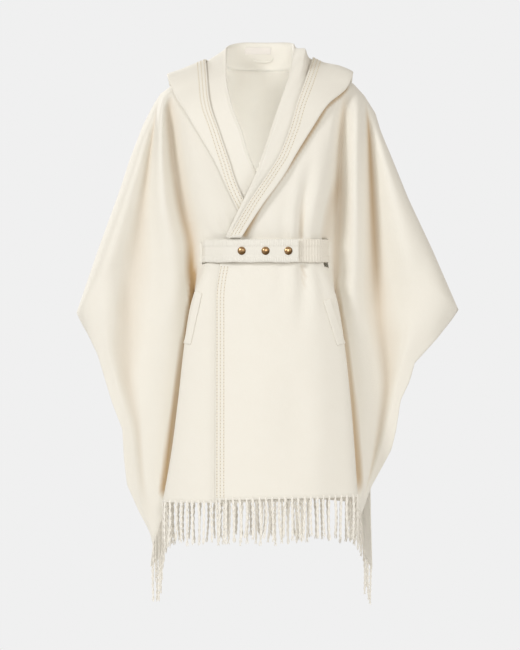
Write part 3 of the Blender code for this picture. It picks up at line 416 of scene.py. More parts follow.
def shoulder_height(arm: Table, x: float) -> float:
    """Height of the shoulder seam at a distance from the middle, with a dome over the neck."""
    if x >= NECK_POINT_X:
        return float(np.interp(x, [row[1] for row in arm], [row[0] for row in arm]))
    return NECK_POINT_Z + NECK_DOME * (1.0 - (x / NECK_POINT_X) ** 2)


def form_depth(arm: Table, x: float, z: float, back: bool = False) -> float:
    """Depth of the filled-out body's oval, rounded in at the shoulder.

    Args:
        arm: Shoulder and arm seam.
        x: Distance from the middle.
        z: Height.
        back: Behind, not in front.

    Returns:
        Depth along Y.
    """
    half, front, rear = by_height(FORM, z)
    share = min(abs(x) / half, 0.995)
    oval = (1.0 - share**BODY_POWER) ** (1.0 / BODY_POWER)
    reach = rounding(shoulder_height(arm, abs(x)) - z, SHOULDER_DROP)
    return (rear if back else -front) * oval * reach


def lift_over(x: float, z: float) -> float:
    """How far the over front stands off the form, which fades out towards the side."""
    lift = float(by_height(OVERLAP_LIFT, z)[0])
    return lift * float(step((OVERLAP_END - x) / OVERLAP_FADE))


def line_point(rows: Table, share: float, arm: Table, back: bool = False) -> Array:
    """Point of one fall line.

    Args:
        rows: The fall line.
        share: Share of its fall.
        arm: Shoulder and arm seam.
        back: Behind, not in front.

    Returns:
        The point, on the panel's own side.
    """
    top = rows[0][0]
    z = top + (rows[-1][0] - top) * share
    x = float(by_height([row[:2] for row in rows], z)[0])
    if len(rows[0]) == 2:
        return np.array((x, form_depth(arm, x, z, back), z))
    depth = float(by_height([(row[0], row[2]) for row in rows], z)[0])
    return np.array((x, depth * rounding(top - z, ARM_DROP), z))


def outer_point(arm: Table, edge: Table, share: float, corner_share: float, start: float) -> Array:
    """Point of the outermost line: down the arm seam, then down the side edge.

    Args:
        arm: Shoulder and arm seam.
        edge: Side edge below the wing corner.
        share: Share of the fall.
        corner_share: Share at the corner.
        start: Height at which the line leaves the seam.

    Returns:
        The point.
    """
    corner = arm[-1][0]
    if share <= corner_share:
        z = start + (corner - start) * share / corner_share
        return np.array((float(by_height(arm, z, straight=True)[0]), 0.0, z))
    z = corner + (edge[-1][0] - corner) * (share - corner_share) / (1.0 - corner_share)
    x, y = by_height(edge, z, straight=True)
    return np.array((float(x), float(y), z))


def roll_point(crest: Array, outer: Array, past_corner: float) -> Array:
    """Point between crest and outer line that rounds the cloth over the arm.

    Args:
        crest: Crest point.
        outer: Outer point.
        past_corner: Share below the wing corner.

    Returns:
        The point.
    """
    fade = min(max(past_corner / ROLL_FADE, 0.0), 1.0)
    wide = ROLL_ACROSS + ROLL_ACROSS_CHANGE * fade
    return crest + (outer - crest) * np.array((wide, ROLL_DEEP + ROLL_DEEP_CHANGE * fade, wide))


def across(points: list[Array], cells: tuple[int, ...]) -> Array:
    """Smooth curve through the fall lines' points.

    Args:
        points: A point of each line.
        cells: Cells of each span, before they are made finer.

    Returns:
        Points of the curve.
    """
    keys = np.arange(len(points))
    at = [0.0]
    for span, count in enumerate(cells):
        at.extend(span + (k + 1) / (count * FINE) for k in range(count * FINE))
    return smooth(keys, np.array(points), np.array(at))


def fall_shares(stops: tuple[tuple[float, int], ...]) -> list[float]:
    """Rising shares of the fall.

    Args:
        stops: A share, and the cells up to it before they are made finer.

    Returns:
        The shares.
    """
    shares = [0.0]
    for stop, count in stops:
        start = shares[-1]
        cells = count * FINE
        shares.extend(start + (stop - start) * (k + 1) / cells for k in range(cells))
    return shares


def slit_share(side: Table, z: float) -> float:
    """Share of the side line's fall at a height."""
    return (side[0][0] - z) / (side[0][0] - side[-1][0])


def front_grid(lines: Lines, arm: Table, edge: Table, slit: tuple, over: bool) -> tuple[Array, int]:
    """Grid of a front panel from its free edge outwards.

    Args:
        lines: Fall lines.
        arm: Shoulder and arm seam.
        edge: Side edge.
        slit: Top and foot of the belt slit.
        over: The wearer's left front, which laps over the right one.

    Returns:
        The grid, and the row of its wing corner.
    """
    first = slit_share(lines["side"], slit[0])
    last = slit_share(lines["side"], slit[1])
    corner = (first * 0.4) + (last * 0.6)
    shares = fall_shares(((0.1, 4), (first, 7), (corner, 2), (last, 1), (1.0, 12)))
    start = lines["crest"][0][0] - ARM_START
    rows = []
    for share in shares:
        side = line_point(lines["side"], share, arm)
        inner = line_point(lines["edge"], share, arm)
        points = [inner]
        for part in (1 / 3, 2 / 3):
            x = inner[0] + (side[0] - inner[0]) * part
            z = inner[2] + (side[2] - inner[2]) * part
            if share == 0.0:
                z = shoulder_height(arm, x)
            points.append(np.array((x, form_depth(arm, x, z), z)))
        points.append(side)
        for name in ("gap", "ridge", "hollow", "crest"):
            points.append(line_point(lines[name], share, arm))
        outer = outer_point(arm, edge, share, corner, start)
        points.append(roll_point(points[-1], outer, share - corner))
        points.append(outer)
        row = across(points, FRONT_CELLS)
        if over:
            for point in row:
                point[1] -= lift_over(point[0], point[2])
        if share == 0.0:
            row[:, 1] = 0.0
            seat_on_seam(row, arm, FRONT_SEAM_CELL * FINE + 1)
        rows.append(row)
    grid = np.array(rows)
    grid[:, :, 0] *= 1.0 if over else -1.0
    corner_row = shares.index(corner)
    grid[0, :, 1] = -SEAM_GAP / 2
    grid[: corner_row + 1, -1, 1] = -SEAM_GAP / 2
    return grid, corner_row


def spread_wing(point: Array, gap: Array, outer: Array) -> None:
    """Move a wing point so that it keeps its place between gap and outer line.

    Args:
        point: Point to move.
        gap: Point of the gap line.
        outer: Point of the outer line.
    """
    reference = float(by_height(BACK_REFERENCE, outer[2])[0])
    point[0] = gap[0] + (point[0] - gap[0]) * (outer[0] - gap[0]) / (reference - gap[0])


def seat_on_seam(row: Array, arm: Table, first: int) -> None:
    """Put the points of a first row on the shoulder seam.

    Args:
        row: The row.
        arm: Shoulder and arm seam.
        first: First column to move.
    """
    for point in row[first:]:
        point[0] = float(by_height(arm, point[2], straight=True)[0])
        point[1] = 0.0


def back_grid() -> tuple[Array, int]:
    """Grid of the back panel from the wearer's left to the right.

    Returns:
        The grid, and its wing corners' row.
    """
    corner = BACK_CORNER
    shares = fall_shares(((0.09, 4), (corner, 8), (1.0, 13)))
    halves = []
    sides = ((LEFT_ARM, LEFT_BACK_EDGE, 1.0), (RIGHT_ARM, RIGHT_BACK_EDGE, -1.0))
    for arm, edge, sign in sides:
        rows = []
        for share in shares:
            points = [line_point(lines, share, arm, back=True) for lines in BACK.values()]
            start = BACK["crest"][0][0] - ARM_START
            outer = outer_point(arm, edge, share, corner, start)
            for point in points[-3:]:
                spread_wing(point, points[-4], outer)
            points.append(roll_point(points[-1], outer, share - corner))
            points.append(outer)
            row = across(points, BACK_CELLS)
            if share == 0.0:
                for point in row:
                    beside = point[0] >= NECK_POINT_X
                    point[2] = shoulder_height(arm, point[0]) if beside else point[2]
                    point[1] = 0.0 if beside else form_depth(arm, point[0], point[2], back=True)
                seat_on_seam(row, arm, BACK_SEAM_CELL * FINE + 1)
            rows.append(row)
        half = np.array(rows)
        half[:, :, 0] *= sign
        halves.append(half)
    corner_row = shares.index(corner)
    for half in halves:
        beside = np.abs(half[0, :, 0]) >= NECK_POINT_X
        half[0, beside, 1] = SEAM_GAP / 2
        half[: corner_row + 1, -1, 1] = SEAM_GAP / 2
    left, right = halves
    return np.concatenate([left[:, ::-1], right[:, 1:]], axis=1), corner_row


def grid_normals(grid: Array) -> Array:
    """Unit normals of a grid of points."""
    return unit(np.cross(np.gradient(grid, axis=0), np.gradient(grid, axis=1)))


def seam_normals(points: Array) -> Array:
    """Normals of points along a seam, turned into the seam's plane."""
    run = np.gradient(points, axis=0)
    normals = np.stack([-run[:, 2], np.zeros(len(run)), run[:, 0]], axis=1)
    normals *= np.where(normals[:, 2:] < 0, -1.0, 1.0)
    return unit(normals)


def wall_normals(grid: Array, seams: Sequence) -> Array:
    """Normals of a panel, with those along its seams in the seam's plane.

    Args:
        grid: Rows of points.
        seams: Places of the seams in the grid.

    Returns:
        A normal for each point.
    """
    normals = grid_normals(grid)
    for place in seams:
        normals[place] = seam_normals(grid[place])
    return normals


def cells_of(grid: Array, holes: frozenset = frozenset()) -> list[tuple[int, int, int, int]]:
    """Corners of each cell of a grid whose points are numbered row by row.

    Args:
        grid: Rows of points.
        holes: Cells left out.

    Returns:
        Four numbers for each cell.
    """
    rows, cols = grid.shape[:2]
    starts = [i * cols + j for i in range(rows - 1) for j in range(cols - 1) if (i, j) not in holes]
    return [(a, a + cols, a + cols + 1, a + 1) for a in starts]


def surface_tree(grid: Array) -> BVHTree:
    """Search tree of a grid's surface, its normals facing out."""
    return BVHTree.FromPolygons([Vector(p) for p in grid.reshape(-1, 3)], cells_of(grid))


def lay_way(key: float) -> Array:
    """Unit vector along which a hood station is laid off the panels."""
    side, deep, high = smooth([row[0] for row in LAY_WAYS], [row[1] for row in LAY_WAYS], abs(key))
    return unit(np.array((math.copysign(side, key), deep, high)))


def lift_off(point: Array, way: Array, trees: list[BVHTree], rest: float) -> float:
    """How far a point must move to stand off the panels.

    Args:
        point: The point.
        way: Way to move along.
        trees: Panels near it.
        rest: Distance to stand off.

    Returns:
        Distance to move.
    """
    need = 0.0
    start = Vector(point + way * LAY_REACH)
    for tree in trees:
        hit = tree.ray_cast(start, Vector(-way), 2 * LAY_REACH)[0]
        if hit is not None:
            need = max(need, float((np.array(hit) - point) @ way) + rest)
        near, normal, _, gap = tree.find_nearest(Vector(point + way * need))
        if gap < EDGE_REACH:
            offset = float((point + way * need - np.array(near)) @ np.array(normal))
            need += max(0.0, rest - offset) / max(float(np.array(normal) @ way), 0.5)
    return need


def half_turn(start: Array, end: Array, tip: Array, count: int = 4) -> list[Array]:
    """Points of a U-turn.

    Args:
        start: First point.
        end: Last point.
        tip: Point towards which it bulges.
        count: Number of points.

    Returns:
        The points.
    """
    middle = (start + end) / 2
    side = (start - end) / 2
    reach = np.linalg.norm(side)
    out = unit(tip - middle) * reach
    turns = [math.pi * k / (count - 1) for k in range(count)]
    return [middle + side * math.cos(turn) + out * math.sin(turn) for turn in turns]


def with_neighbours(values: Array) -> Array:
    """Twice each value and those of the stations beside it, added up."""
    wide = np.concatenate([values[:1], values, values[-1:]])
    return wide[:-2] + 2.0 * wide[1:-1] + wide[2:]


def even_out(normals: Array, passes: int) -> Array:
    """Normals of stations, averaged this often with those beside them."""
    for _ in range(passes):
        normals = unit(with_neighbours(normals))
    return normals


def neck_stations(panels: Sequence[Array]) -> list[tuple[float, Array]]:
    """Stations round the neckline, from the right lapel's foot to the left one's.

    Args:
        panels: Left front, right front and back.

    Returns:
        Station key and seam point of each.
    """
    left, right, back = panels
    stations = []
    for i in range(right.shape[0] - 1, 0, -1):
        point = right[i, -1]
        stations.append((-1.0 - (NECK_POINT_Z - point[2]) / LAPEL_STEP, point))
    centre = [p for p in back[0] if abs(p[0]) < NECK_POINT_X]
    stations.append((-1.0, np.array((-NECK_POINT_X, 0.0, NECK_POINT_Z))))
    for point in reversed(centre):
        stations.append((point[0] / NECK_POINT_X, point))
    stations.append((1.0, np.array((NECK_POINT_X, 0.0, NECK_POINT_Z))))
    for i in range(1, left.shape[0]):
        point = left[i, 0]
        stations.append((1.0 + (NECK_POINT_Z - point[2]) / LAPEL_STEP, point))
    first = HOOD[0][0]
    last = HOOD[-1][0]
    kept = [(key, point) for key, point in stations if first <= key <= last]
    dense = [kept[0]]
    for (key, point), (after, beyond) in zip(kept, kept[1:]):
        near_neck = abs(key + after) / 2 < LAPEL_START
        cells = max(1, math.ceil((after - key) * FINE / STATION_STEP)) if near_neck else 1
        for k in range(1, cells + 1):
            part = k / cells
            dense.append((key + (after - key) * part, point + (beyond - point) * part))
    return dense


def under_shares(roll: Array, fold: Array) -> Array:
    """Shares of the way from roll to outer fold at which the under layer has points.

    Args:
        roll: Roll point.
        fold: Outer fold point.

    Returns:
        The shares.
    """
    length = np.linalg.norm(fold - roll)
    first = 1.1 * LAYER_STEP / length
    last = 1.0 - 0.8 * LAYER_STEP / length
    even = np.linspace(0.0, 1.0, UNDER_POINTS)
    return np.append(first + (last - first) * (0.6 * even + 0.4 * even**2), 1.0)


def evened(values: Array, passes: int) -> Array:
    """Blur values along the stations, but let none fall.

    Args:
        values: Values of each station.
        passes: How often.

    Returns:
        Evened values.
    """
    result = values
    for _ in range(passes):
        result = np.maximum(with_neighbours(result) / 4.0, values)
    return result


def off_seam(seam: Array, roll: Array, trees: list[BVHTree]) -> Array:
    """Way from a seam point to the hood's first point, longer where the hood turns more.

    Args:
        seam: Seam point.
        roll: Roll point.
        trees: Panels near it.

    Returns:
        The way.
    """
    towards = unit(roll - seam)
    turn = 0.0
    for tree in trees:
        _, normal, _, gap = tree.find_nearest(Vector(seam))
        if gap < CLOTH:
            turn = max(turn, abs(float(towards @ np.array(normal))))
    return towards * (SEAM_GAP + turn * TURN_GAP)


def hood_places(panels: Sequence[Array]) -> list[tuple]:
    """Where the hood runs at each station.

    Args:
        panels: Left front, right front and back.

    Returns:
        Key, first point, roll, outer fold, back share, edge stand-off and panels of each station.
    """
    keys = [row[0] for row in HOOD]
    values = [(*metres(row[1]), *metres(row[2]), row[3], metres(row[4])) for row in HOOD]
    left_tree, right_tree, back_tree = map(surface_tree, panels)
    stations = []
    needs = []
    for key, seam in neck_stations(panels):
        found = smooth(keys, values, key)
        trees = [back_tree]
        if key > -0.9:
            trees.append(left_tree)
        if key < 0.9:
            trees.append(right_tree)
        stations.append((key, seam, found, trees))
        rolled = abs(key) > LAPEL_START
        needs.append(lift_off(found[:3], lay_way(key), trees, LAYER_STEP / 2) if rolled else 0.0)
    lifts = evened(np.array(needs), ROLL_PASSES * FINE * FINE)
    places = []
    for (key, seam, found, trees), lift in zip(stations, lifts):
        roll = found[:3] + lay_way(key) * lift
        start = seam + off_seam(seam, roll, trees)
        places.append((key, start, roll, found[3:6], found[6], found[7], trees))
    return places


def under_layer(places: list[tuple]) -> tuple[Array, list[Array]]:
    """Under layer of the hood, laid off the panels.

    Args:
        places: The hood's stations.

    Returns:
        Its points, and their shares of the way out.
    """
    straight = []
    shares = []
    ways = []
    needs = []
    for key, _, roll, fold, _, _, trees in places:
        rest = LAPEL_REST if abs(key) > LAPEL_START else POUCH_REST
        way = lay_way(key)
        parts = under_shares(roll, fold)
        row = [roll + (fold - roll) * part for part in parts]
        straight.append(row)
        shares.append(parts)
        ways.append(way)
        needs.append([lift_off(point, way, trees, rest) for point in row])
    lifts = evened(np.array(needs), LAY_PASSES * FINE * FINE)
    return np.array(straight) + np.array(ways)[:, None] * lifts[:, :, None], shares


def hood_grid(panels: Sequence[Array]) -> Array:
    """Grid of the hood: stand, roll, under layer, outer fold, top layer, free edge.

    Args:
        panels: Left front, right front and back.

    Returns:
        The grid, a row for each station.
    """
    half = LAYER_STEP / 2
    places = hood_places(panels)
    under_grid, all_shares = under_layer(places)
    sheet_out = even_out(grid_normals(under_grid), 3 * FINE * FINE)
    rows = []
    for under, out, shares, place in zip(under_grid, sheet_out, all_shares, places):
        _, start, roll, _, back_share, stand_off, _ = place
        inside = roll - unit(roll - start) * half
        inner_leg = inside - out[0] * half
        outer_leg = inside + out[0] * half
        row = [start, (start + inner_leg) / 2]
        row.extend(half_turn(inner_leg, outer_leg, roll))
        row.extend(under[:-1])
        end = under[-1]
        run = unit(end - under[-2])
        row.extend(half_turn(end, end + out[-1] * LAYER_STEP, end + run))
        for part in TOP_LAYER_PARTS:
            at = 1.0 - back_share * part
            base = smooth(shares, under, at)
            lean = unit(smooth(shares, out, at))
            row.append(base + lean * (LAYER_STEP + (stand_off - LAYER_STEP) * part))
        rows.append(row)
    return np.array(rows)


def from_front(tree: BVHTree, x: float, z: float) -> tuple:
    """Point and normal of a panel at a place that is looked up from the front."""
    return tree.ray_cast(Vector((x, RAY_START, z)), Vector((0, 1, 0)))[:2]


def belt_front(x: float, layer: float, trees: list[BVHTree]) -> Array:
    """Point of the belt's centre line in front of the panels, seen from above.

    Args:
        x: Place across.
        layer: Belt layers under it.
        trees: The fronts.

    Returns:
        The point (x, y).
    """
    depths = []
    for z in np.linspace(BELT_TOP, BELT_TOP - BELT_HEIGHT, 4):
        for beside in (-BELT_FEEL, 0.0, BELT_FEEL):
            for tree in trees:
                hit = from_front(tree, x + beside, z)[0]
                if hit is not None:
                    depths.append(hit.y)
    stand = CLOTH / 2 + BELT_THICKNESS / 2 + BELT_CLEARANCE + layer * LAYER_STEP
    return np.array((x, min(depths) - stand))


def through(points: Sequence, count: int) -> Array:
    """This many evenly placed points of a smooth curve through others."""
    points = np.array(points)
    keys = run_lengths(points)
    return smooth(keys, points, np.linspace(0.0, keys[-1], count))


def belt_path(trees: list[BVHTree]) -> tuple[Array, Array]:
    """Belt's centre line from the end under the tab, round the back, to the tab's end.

    Args:
        trees: The fronts.

    Returns:
        Its points, and its unit runs.
    """
    points = [belt_front(x, 0.0, trees) for x in np.linspace(UNDER_END_X, FRONT_REACH, 10)]
    points.extend(np.array(p) for p in BELT_BACK)
    for x in np.linspace(-FRONT_REACH, TAB_END_X, 11):
        layer = min(max((x - TAB_RISE_X) / TAB_RISE, 0.0), 1.0)
        points.append(belt_front(x, layer, trees))
    path = through(points, BELT_STATIONS)
    return path, unit(np.gradient(path, axis=0))


def face_patch(tree: BVHTree, corners: Sequence, stand_off: float, cells: tuple[int, int]) -> Array:
    """Grid over a panel's face, looked up from the front.

    Args:
        tree: The panel.
        corners: Corner places (x, z).
        stand_off: Distance off the panel.
        cells: Cells down and across.

    Returns:
        Rows of points.
    """
    top_left, top_right, low_left, low_right = (np.array(c) for c in corners)
    rows = []
    for i in range(cells[0] + 1):
        left = top_left + (low_left - top_left) * (i / cells[0])
        right = top_right + (low_right - top_right) * (i / cells[0])
        row = []
        for j in range(cells[1] + 1):
            x, z = left + (right - left) * (j / cells[1])
            hit, normal = from_front(tree, x, z)
            row.append(np.array(hit + normal * stand_off))
        rows.append(row)
    return np.array(rows)


def hem_points(grid: Array, normals: Array) -> Array:
    """Last row of a grid.

    Args:
        grid: Rows of points.
        normals: Their normals.

    Returns:
        Each point, its way down and its normal.
    """
    down = unit(grid[-1] - grid[-2])
    along = unit(np.gradient(grid[-1], axis=0))
    down = unit(down - along * np.sum(down * along, axis=1, keepdims=True))
    return np.concatenate([grid[-1], down, normals[-1]], axis=1)


def refined(grid: Array, times: int) -> Array:
    """Grid with this many times the cells across, on a smooth curve through its own."""
    at = np.linspace(0.0, grid.shape[1] - 1, (grid.shape[1] - 1) * times + 1)
    return np.array([smooth(np.arange(grid.shape[1]), row, at) for row in grid])


def relaxed(grid: Array, passes: int) -> Array:
    """Grid whose inner points are drawn towards their neighbours, its rim kept.

    Args:
        grid: Rows of points.
        passes: How often.

    Returns:
        The softer grid.
    """
    grid = grid.copy()
    for _ in range(passes):
        mean = (grid[:-2, 1:-1] + grid[2:, 1:-1] + grid[1:-1, :-2] + grid[1:-1, 2:]) / 4.0
        grid[1:-1, 1:-1] += 0.5 * (mean - grid[1:-1, 1:-1])
    return grid


def step(value: Array) -> Array:
    """Smooth step of values, which are held between 0 and 1."""
    value = np.clip(value, 0.0, 1.0)
    return value * value * (3.0 - 2.0 * value)


def run_lengths(points: Array) -> Array:
    """Distance of each point along a run of points."""
    steps = np.linalg.norm(np.diff(points, axis=0), axis=1)
    return np.concatenate([[0.0], np.cumsum(steps)])


@dataclass(frozen=True)
class Crease:
    """Soft trough in a panel, or a ridge where the depth is negative.

    The path is seen from the front: x and z of each point, in millimetres.
    """

    path: Table
    width: float
    depth: float
    fade_in: float = 0.15
    fade_out: float = 0.35
    widening: float = 0.7
    bank: float = 0.35

    def depths(self, grid: Array) -> Array:
        """How deep the crease is at each point.

        Args:
            grid: Rows of points.

        Returns:
            Depth at each point.
        """
        path = np.array(self.path) / 1000
        total = run_lengths(path)
        flat = grid[..., (0, 2)]
        best = np.full(flat.shape[:2], 1e9)
        share = np.zeros(flat.shape[:2])
        for start, end, low, high in zip(path[:-1], path[1:], total[:-1], total[1:]):
            run = end - start
            part = np.clip(((flat - start) @ run) / (run @ run), 0.0, 1.0)
            gap = np.linalg.norm(flat - start - part[..., None] * run, axis=2)
            nearer = gap < best
            best = np.where(nearer, gap, best)
            share = np.where(nearer, (low + part * (high - low)) / total[-1], share)
        spread = self.width * (1.0 + self.widening * share)
        trough = np.exp(-((best / spread) ** 2))
        shoulder = self.bank * np.exp(-(((best - 2.0 * spread) / spread) ** 2))
        ends = step(share / self.fade_in) * step((1.0 - share) / self.fade_out)
        return self.depth * (trough - shoulder) * ends


@dataclass(frozen=True)
class Tuck:
    """Deep soft fold that follows a panel's own fall line.

    The column counts cells of the solid's grid from the panel's free edge or the middle of
    the back. The depths are rows of height and depth, in thousandths of a metre, or of the
    full shade where the tuck only shades the cloth.
    """

    column: float
    width: float
    depths: Table

    def inwards(self, grid: Array, columns: Array) -> Array:
        """How far the fold takes each point inwards.

        Args:
            grid: Rows of points.
            columns: Column of each point of a row, in cells of the solid's grid.

        Returns:
            Depth at each point.
        """
        rows = np.array(self.depths)[::-1] / 1000
        depth = smooth(rows[:, 0], rows[:, 1], grid[..., 2].ravel()).reshape(grid.shape[:2])
        return depth * np.exp(-(((columns - self.column) / self.width) ** 2))[None, :]


def tucked(grid: Array, tucks: tuple[Tuck, ...], columns: Array, way: float) -> Array:
    """Grid with tucks, its seams kept.

    Args:
        grid: Rows of points.
        tucks: Folds.
        columns: Column of each point of a row, in cells of the solid's grid.
        way: Sign of Y that leads inwards.

    Returns:
        The folded grid.
    """
    grid = grid.copy()
    keep = step(np.arange(grid.shape[0]) / (3.0 * FINE))[:, None]
    keep = keep * step((columns.max() - columns) / 2.0)[None, :]
    for tuck in tucks:
        grid[..., 1] += way * keep * tuck.inwards(grid, columns)
    return grid


def creased(grid: Array, creases: tuple[Crease, ...], sway: float, seed: int) -> Array:
    """Grid with creases and a slight uneven sway, its first row and outer seams kept.

    Args:
        grid: Rows of points.
        creases: Troughs and ridges.
        sway: Height of the sway.
        seed: Seed of the sway.

    Returns:
        The creased grid.
    """
    chance = np.random.default_rng(seed)
    normals = grid_normals(grid)
    inwards = -sum(crease.depths(grid) for crease in creases)
    for _ in range(SWAY_WAVES):
        across_rate = chance.uniform(14.0, 46.0)
        down_rate = chance.uniform(3.0, 11.0)
        turn = chance.uniform(0.0, 2.0 * math.pi)
        wave = np.sin(grid[..., 0] * across_rate + grid[..., 2] * down_rate + turn)
        inwards = inwards + sway / 3.0 * wave
    rows, cols = grid.shape[:2]
    keep = step(np.arange(rows) / (2.5 * FINE))[:, None]
    keep = keep * step((cols - 1 - np.arange(cols)) / (1.5 * FINE))[None, :]
    return grid + normals * (inwards * keep)[..., None]


@dataclass(frozen=True)
class Wiring:
    """Adds and joins the nodes of one node tree."""

    tree: NodeTree

    def add(self, kind: str, inputs: dict | None = None, **settings: object) -> Node:
        """Add a node.

        Args:
            kind: Type of the node, without the leading ShaderNode.
            inputs: Values or sockets by input name or number.
            settings: Attributes of the node.

        Returns:
            The node.
        """
        node = self.tree.nodes.new("ShaderNode" + kind)
        for name, value in settings.items():
            setattr(node, name, value)
        self.feed(node, inputs or {})
        return node

    def feed(self, node: Node, inputs: dict) -> None:
        """Give a node its inputs.

        Args:
            node: The node.
            inputs: Values or sockets by input name or number.
        """
        for name, value in inputs.items():
            if isinstance(value, NodeSocket):
                self.tree.links.new(value, node.inputs[name])
            else:
                node.inputs[name].default_value = value

    def noise(self, place: object, scale: float, **more: float) -> NodeSocket:
        """Value socket of a noise at a place, with more of its inputs by name."""
        return self.add("TexNoise", {"Vector": place, "Scale": scale, **more}).outputs["Fac"]

    def mixed(self, share: object, low: object, high: object) -> NodeSocket:
        """Colour socket that mixes two colours by the share of the second one."""
        return self.add("Mix", {0: share, 6: low, 7: high}, data_type="RGBA").outputs[2]

    def maths(self, way: str, first: object, second: object = 0.0) -> NodeSocket:
        """Value socket of a Math node with this operation."""
        return self.add("Math", {0: first, 1: second}, operation=way).outputs[0]


def new_group(name: str, takes: dict[str, str]) -> tuple[Wiring, dict, Node]:
    """Start a shader node group that gives colour, roughness and height.

    Args:
        name: Name of the group.
        takes: Input names, and Float, Color or Vector for each.

    Returns:
        The wiring, its input sockets by name, and the end node.
    """
    group = bpy.data.node_groups.new(name, "ShaderNodeTree")
    gives = {"Colour": "Color", "Roughness": "Float", "Height": "Float"}
    for way, sockets in (("INPUT", takes), ("OUTPUT", gives)):
        for label, kind in sockets.items():
            group.interface.new_socket(name=label, in_out=way, socket_type="NodeSocket" + kind)
    start = group.nodes.new("NodeGroupInput")
    return Wiring(group), start.outputs, group.nodes.new("NodeGroupOutput")


def new_material(name: str, colour: Colour) -> tuple[Material, Wiring, Node]:
    """Start a material.

    Args:
        name: Name of the material.
        colour: Its plain colour.

    Returns:
        The material, the wiring of its nodes, and its shader.
    """
    material = bpy.data.materials.new(name)
    material.use_nodes = True
    material.diffuse_color = (*colour, 1.0)
    return material, Wiring(material.node_tree), material.node_tree.nodes["Principled BSDF"]


def nap_group() -> NodeTree:
    """Node group of a felted nap over a faint twill, with painted shade: the colour goes towards a darker
    warm colour by the painted shade share.
    """
    takes = {
        "Place": "Vector", "Colour": "Color", "Deep": "Color", "Painted Shade Colour": "Color",
        "Mottle": "Float", "Twill": "Float", "Hollow": "Float",
    }
    wiring, start, end = new_group("felted nap", takes)
    place = start["Place"]
    clouds = wiring.noise(place, 26.0, Detail=3.0)
    fibres = wiring.noise(place, 620.0, Detail=5.0, Roughness=0.7)
    pills = wiring.noise(place, 240.0, Detail=2.0, Distortion=0.8)
    waves = {"Vector": place, "Scale": 190.0, "Distortion": 2.4, "Detail": 2.0, "Detail Scale": 2.0}
    ribs = wiring.add("TexWave", waves, bands_direction="DIAGONAL")
    speck = wiring.maths("MULTIPLY", fibres, 0.55)
    cloud = wiring.maths("MULTIPLY", clouds, 0.45)
    share = wiring.maths("MULTIPLY", wiring.maths("ADD", speck, cloud), start["Mottle"])
    twill = wiring.maths("MULTIPLY", ribs.outputs["Fac"], start["Twill"])
    height = wiring.maths("ADD", wiring.maths("MULTIPLY", fibres, 0.6), twill)
    height = wiring.maths("ADD", height, wiring.maths("MULTIPLY", pills, 0.5))
    cloth = wiring.mixed(share, start["Colour"], start["Deep"])
    # Painted shade: the cloth's colour is mixed towards the painted shade colour in hollows, folds and gaps.
    wiring.feed(end, {
        "Colour": wiring.mixed(start["Hollow"], cloth, start["Painted Shade Colour"]),
        "Roughness": wiring.maths("ADD", wiring.maths("MULTIPLY", speck, 0.18), 0.84),
        "Height": height,
    })
    return wiring.tree


def rib_group() -> NodeTree:
    """Node group of the fine ribs of woven webbing or twisted yarn, the ribs' low parts darker as painted
    shade in the grooves, with a random fuzz tone.
    """
    takes = {"Place": "Vector", "Colour": "Color", "Deep": "Color", "Scale": "Float", "Contrast": "Float"}
    wiring, start, end = new_group("woven ribs", takes)
    place = start["Place"]
    waves = {"Vector": place, "Scale": start["Scale"], "Distortion": 0.6, "Detail": 1.0}
    ribs = wiring.add("TexWave", waves)
    fuzz = wiring.noise(place, 700.0, Detail=4.0)
    # Painted shade: the ribs' low parts take the deep colour, together with the fuzz's random tone.
    share = wiring.maths("MULTIPLY", wiring.maths("SUBTRACT", 1.0, ribs.outputs["Fac"]), start["Contrast"])
    share = wiring.maths("ADD", share, wiring.maths("MULTIPLY", fuzz, 0.16))
    height = wiring.maths("ADD", ribs.outputs["Fac"], wiring.maths("MULTIPLY", fuzz, 0.4))
    wiring.feed(end, {
        "Colour": wiring.mixed(share, start["Colour"], start["Deep"]),
        "Roughness": wiring.maths("ADD", wiring.maths("MULTIPLY", fuzz, 0.2), 0.7),
        "Height": height,
    })
    return wiring.tree


class Effect(Enum):
    """Node groups that finishes share."""

    NAP = "felted nap"
    RIBS = "woven ribs"


@dataclass(frozen=True)
class ClothFinish:
    """Fabric finish made from a shared node group."""

    name: str
    effect: Effect
    colour: Colour
    deep: Colour
    values: dict[str, float]
    bump: float
    sheen: float
    # Darker warm colour of the painted shade in hollows, folds and gaps.
    painted_shade_colour: Colour = (0.52, 0.36, 0.19)

    def material(self) -> Material:
        """Build the material."""
        material, wiring, shader = new_material(self.name, self.colour)
        group = wiring.add("Group", node_tree=bpy.data.node_groups[self.effect.value])
        wiring.feed(group, {
            "Place": wiring.add("UVMap", uv_map="cloth").outputs["UV"],
            "Colour": (*self.colour, 1.0),
            "Deep": (*self.deep, 1.0),
            **self.values,
        })
        if self.effect is Effect.NAP:
            # Painted shade: the fold attribute holds the share of painted shade in hollows, folds and gaps.
            hollow = wiring.add("Attribute", attribute_name="fold").outputs["Fac"]
            reach = wiring.add("MapRange", {0: hollow, 1: 0.03, 2: 1.03, 3: 0.0, 4: 1.0})
            wiring.feed(group, {"Painted Shade Colour": (*self.painted_shade_colour, 1.0), "Hollow": reach.outputs[0]})
        relief = {"Height": group.outputs["Height"], "Strength": 0.55, "Distance": self.bump}
        wiring.feed(shader, {
            "Base Color": group.outputs["Colour"],
            "Roughness": group.outputs["Roughness"],
            "Normal": wiring.add("Bump", relief).outputs["Normal"],
            "Specular IOR Level": 0.25,
            "Sheen Weight": self.sheen,
            "Sheen Roughness": 0.6,
        })
        return material


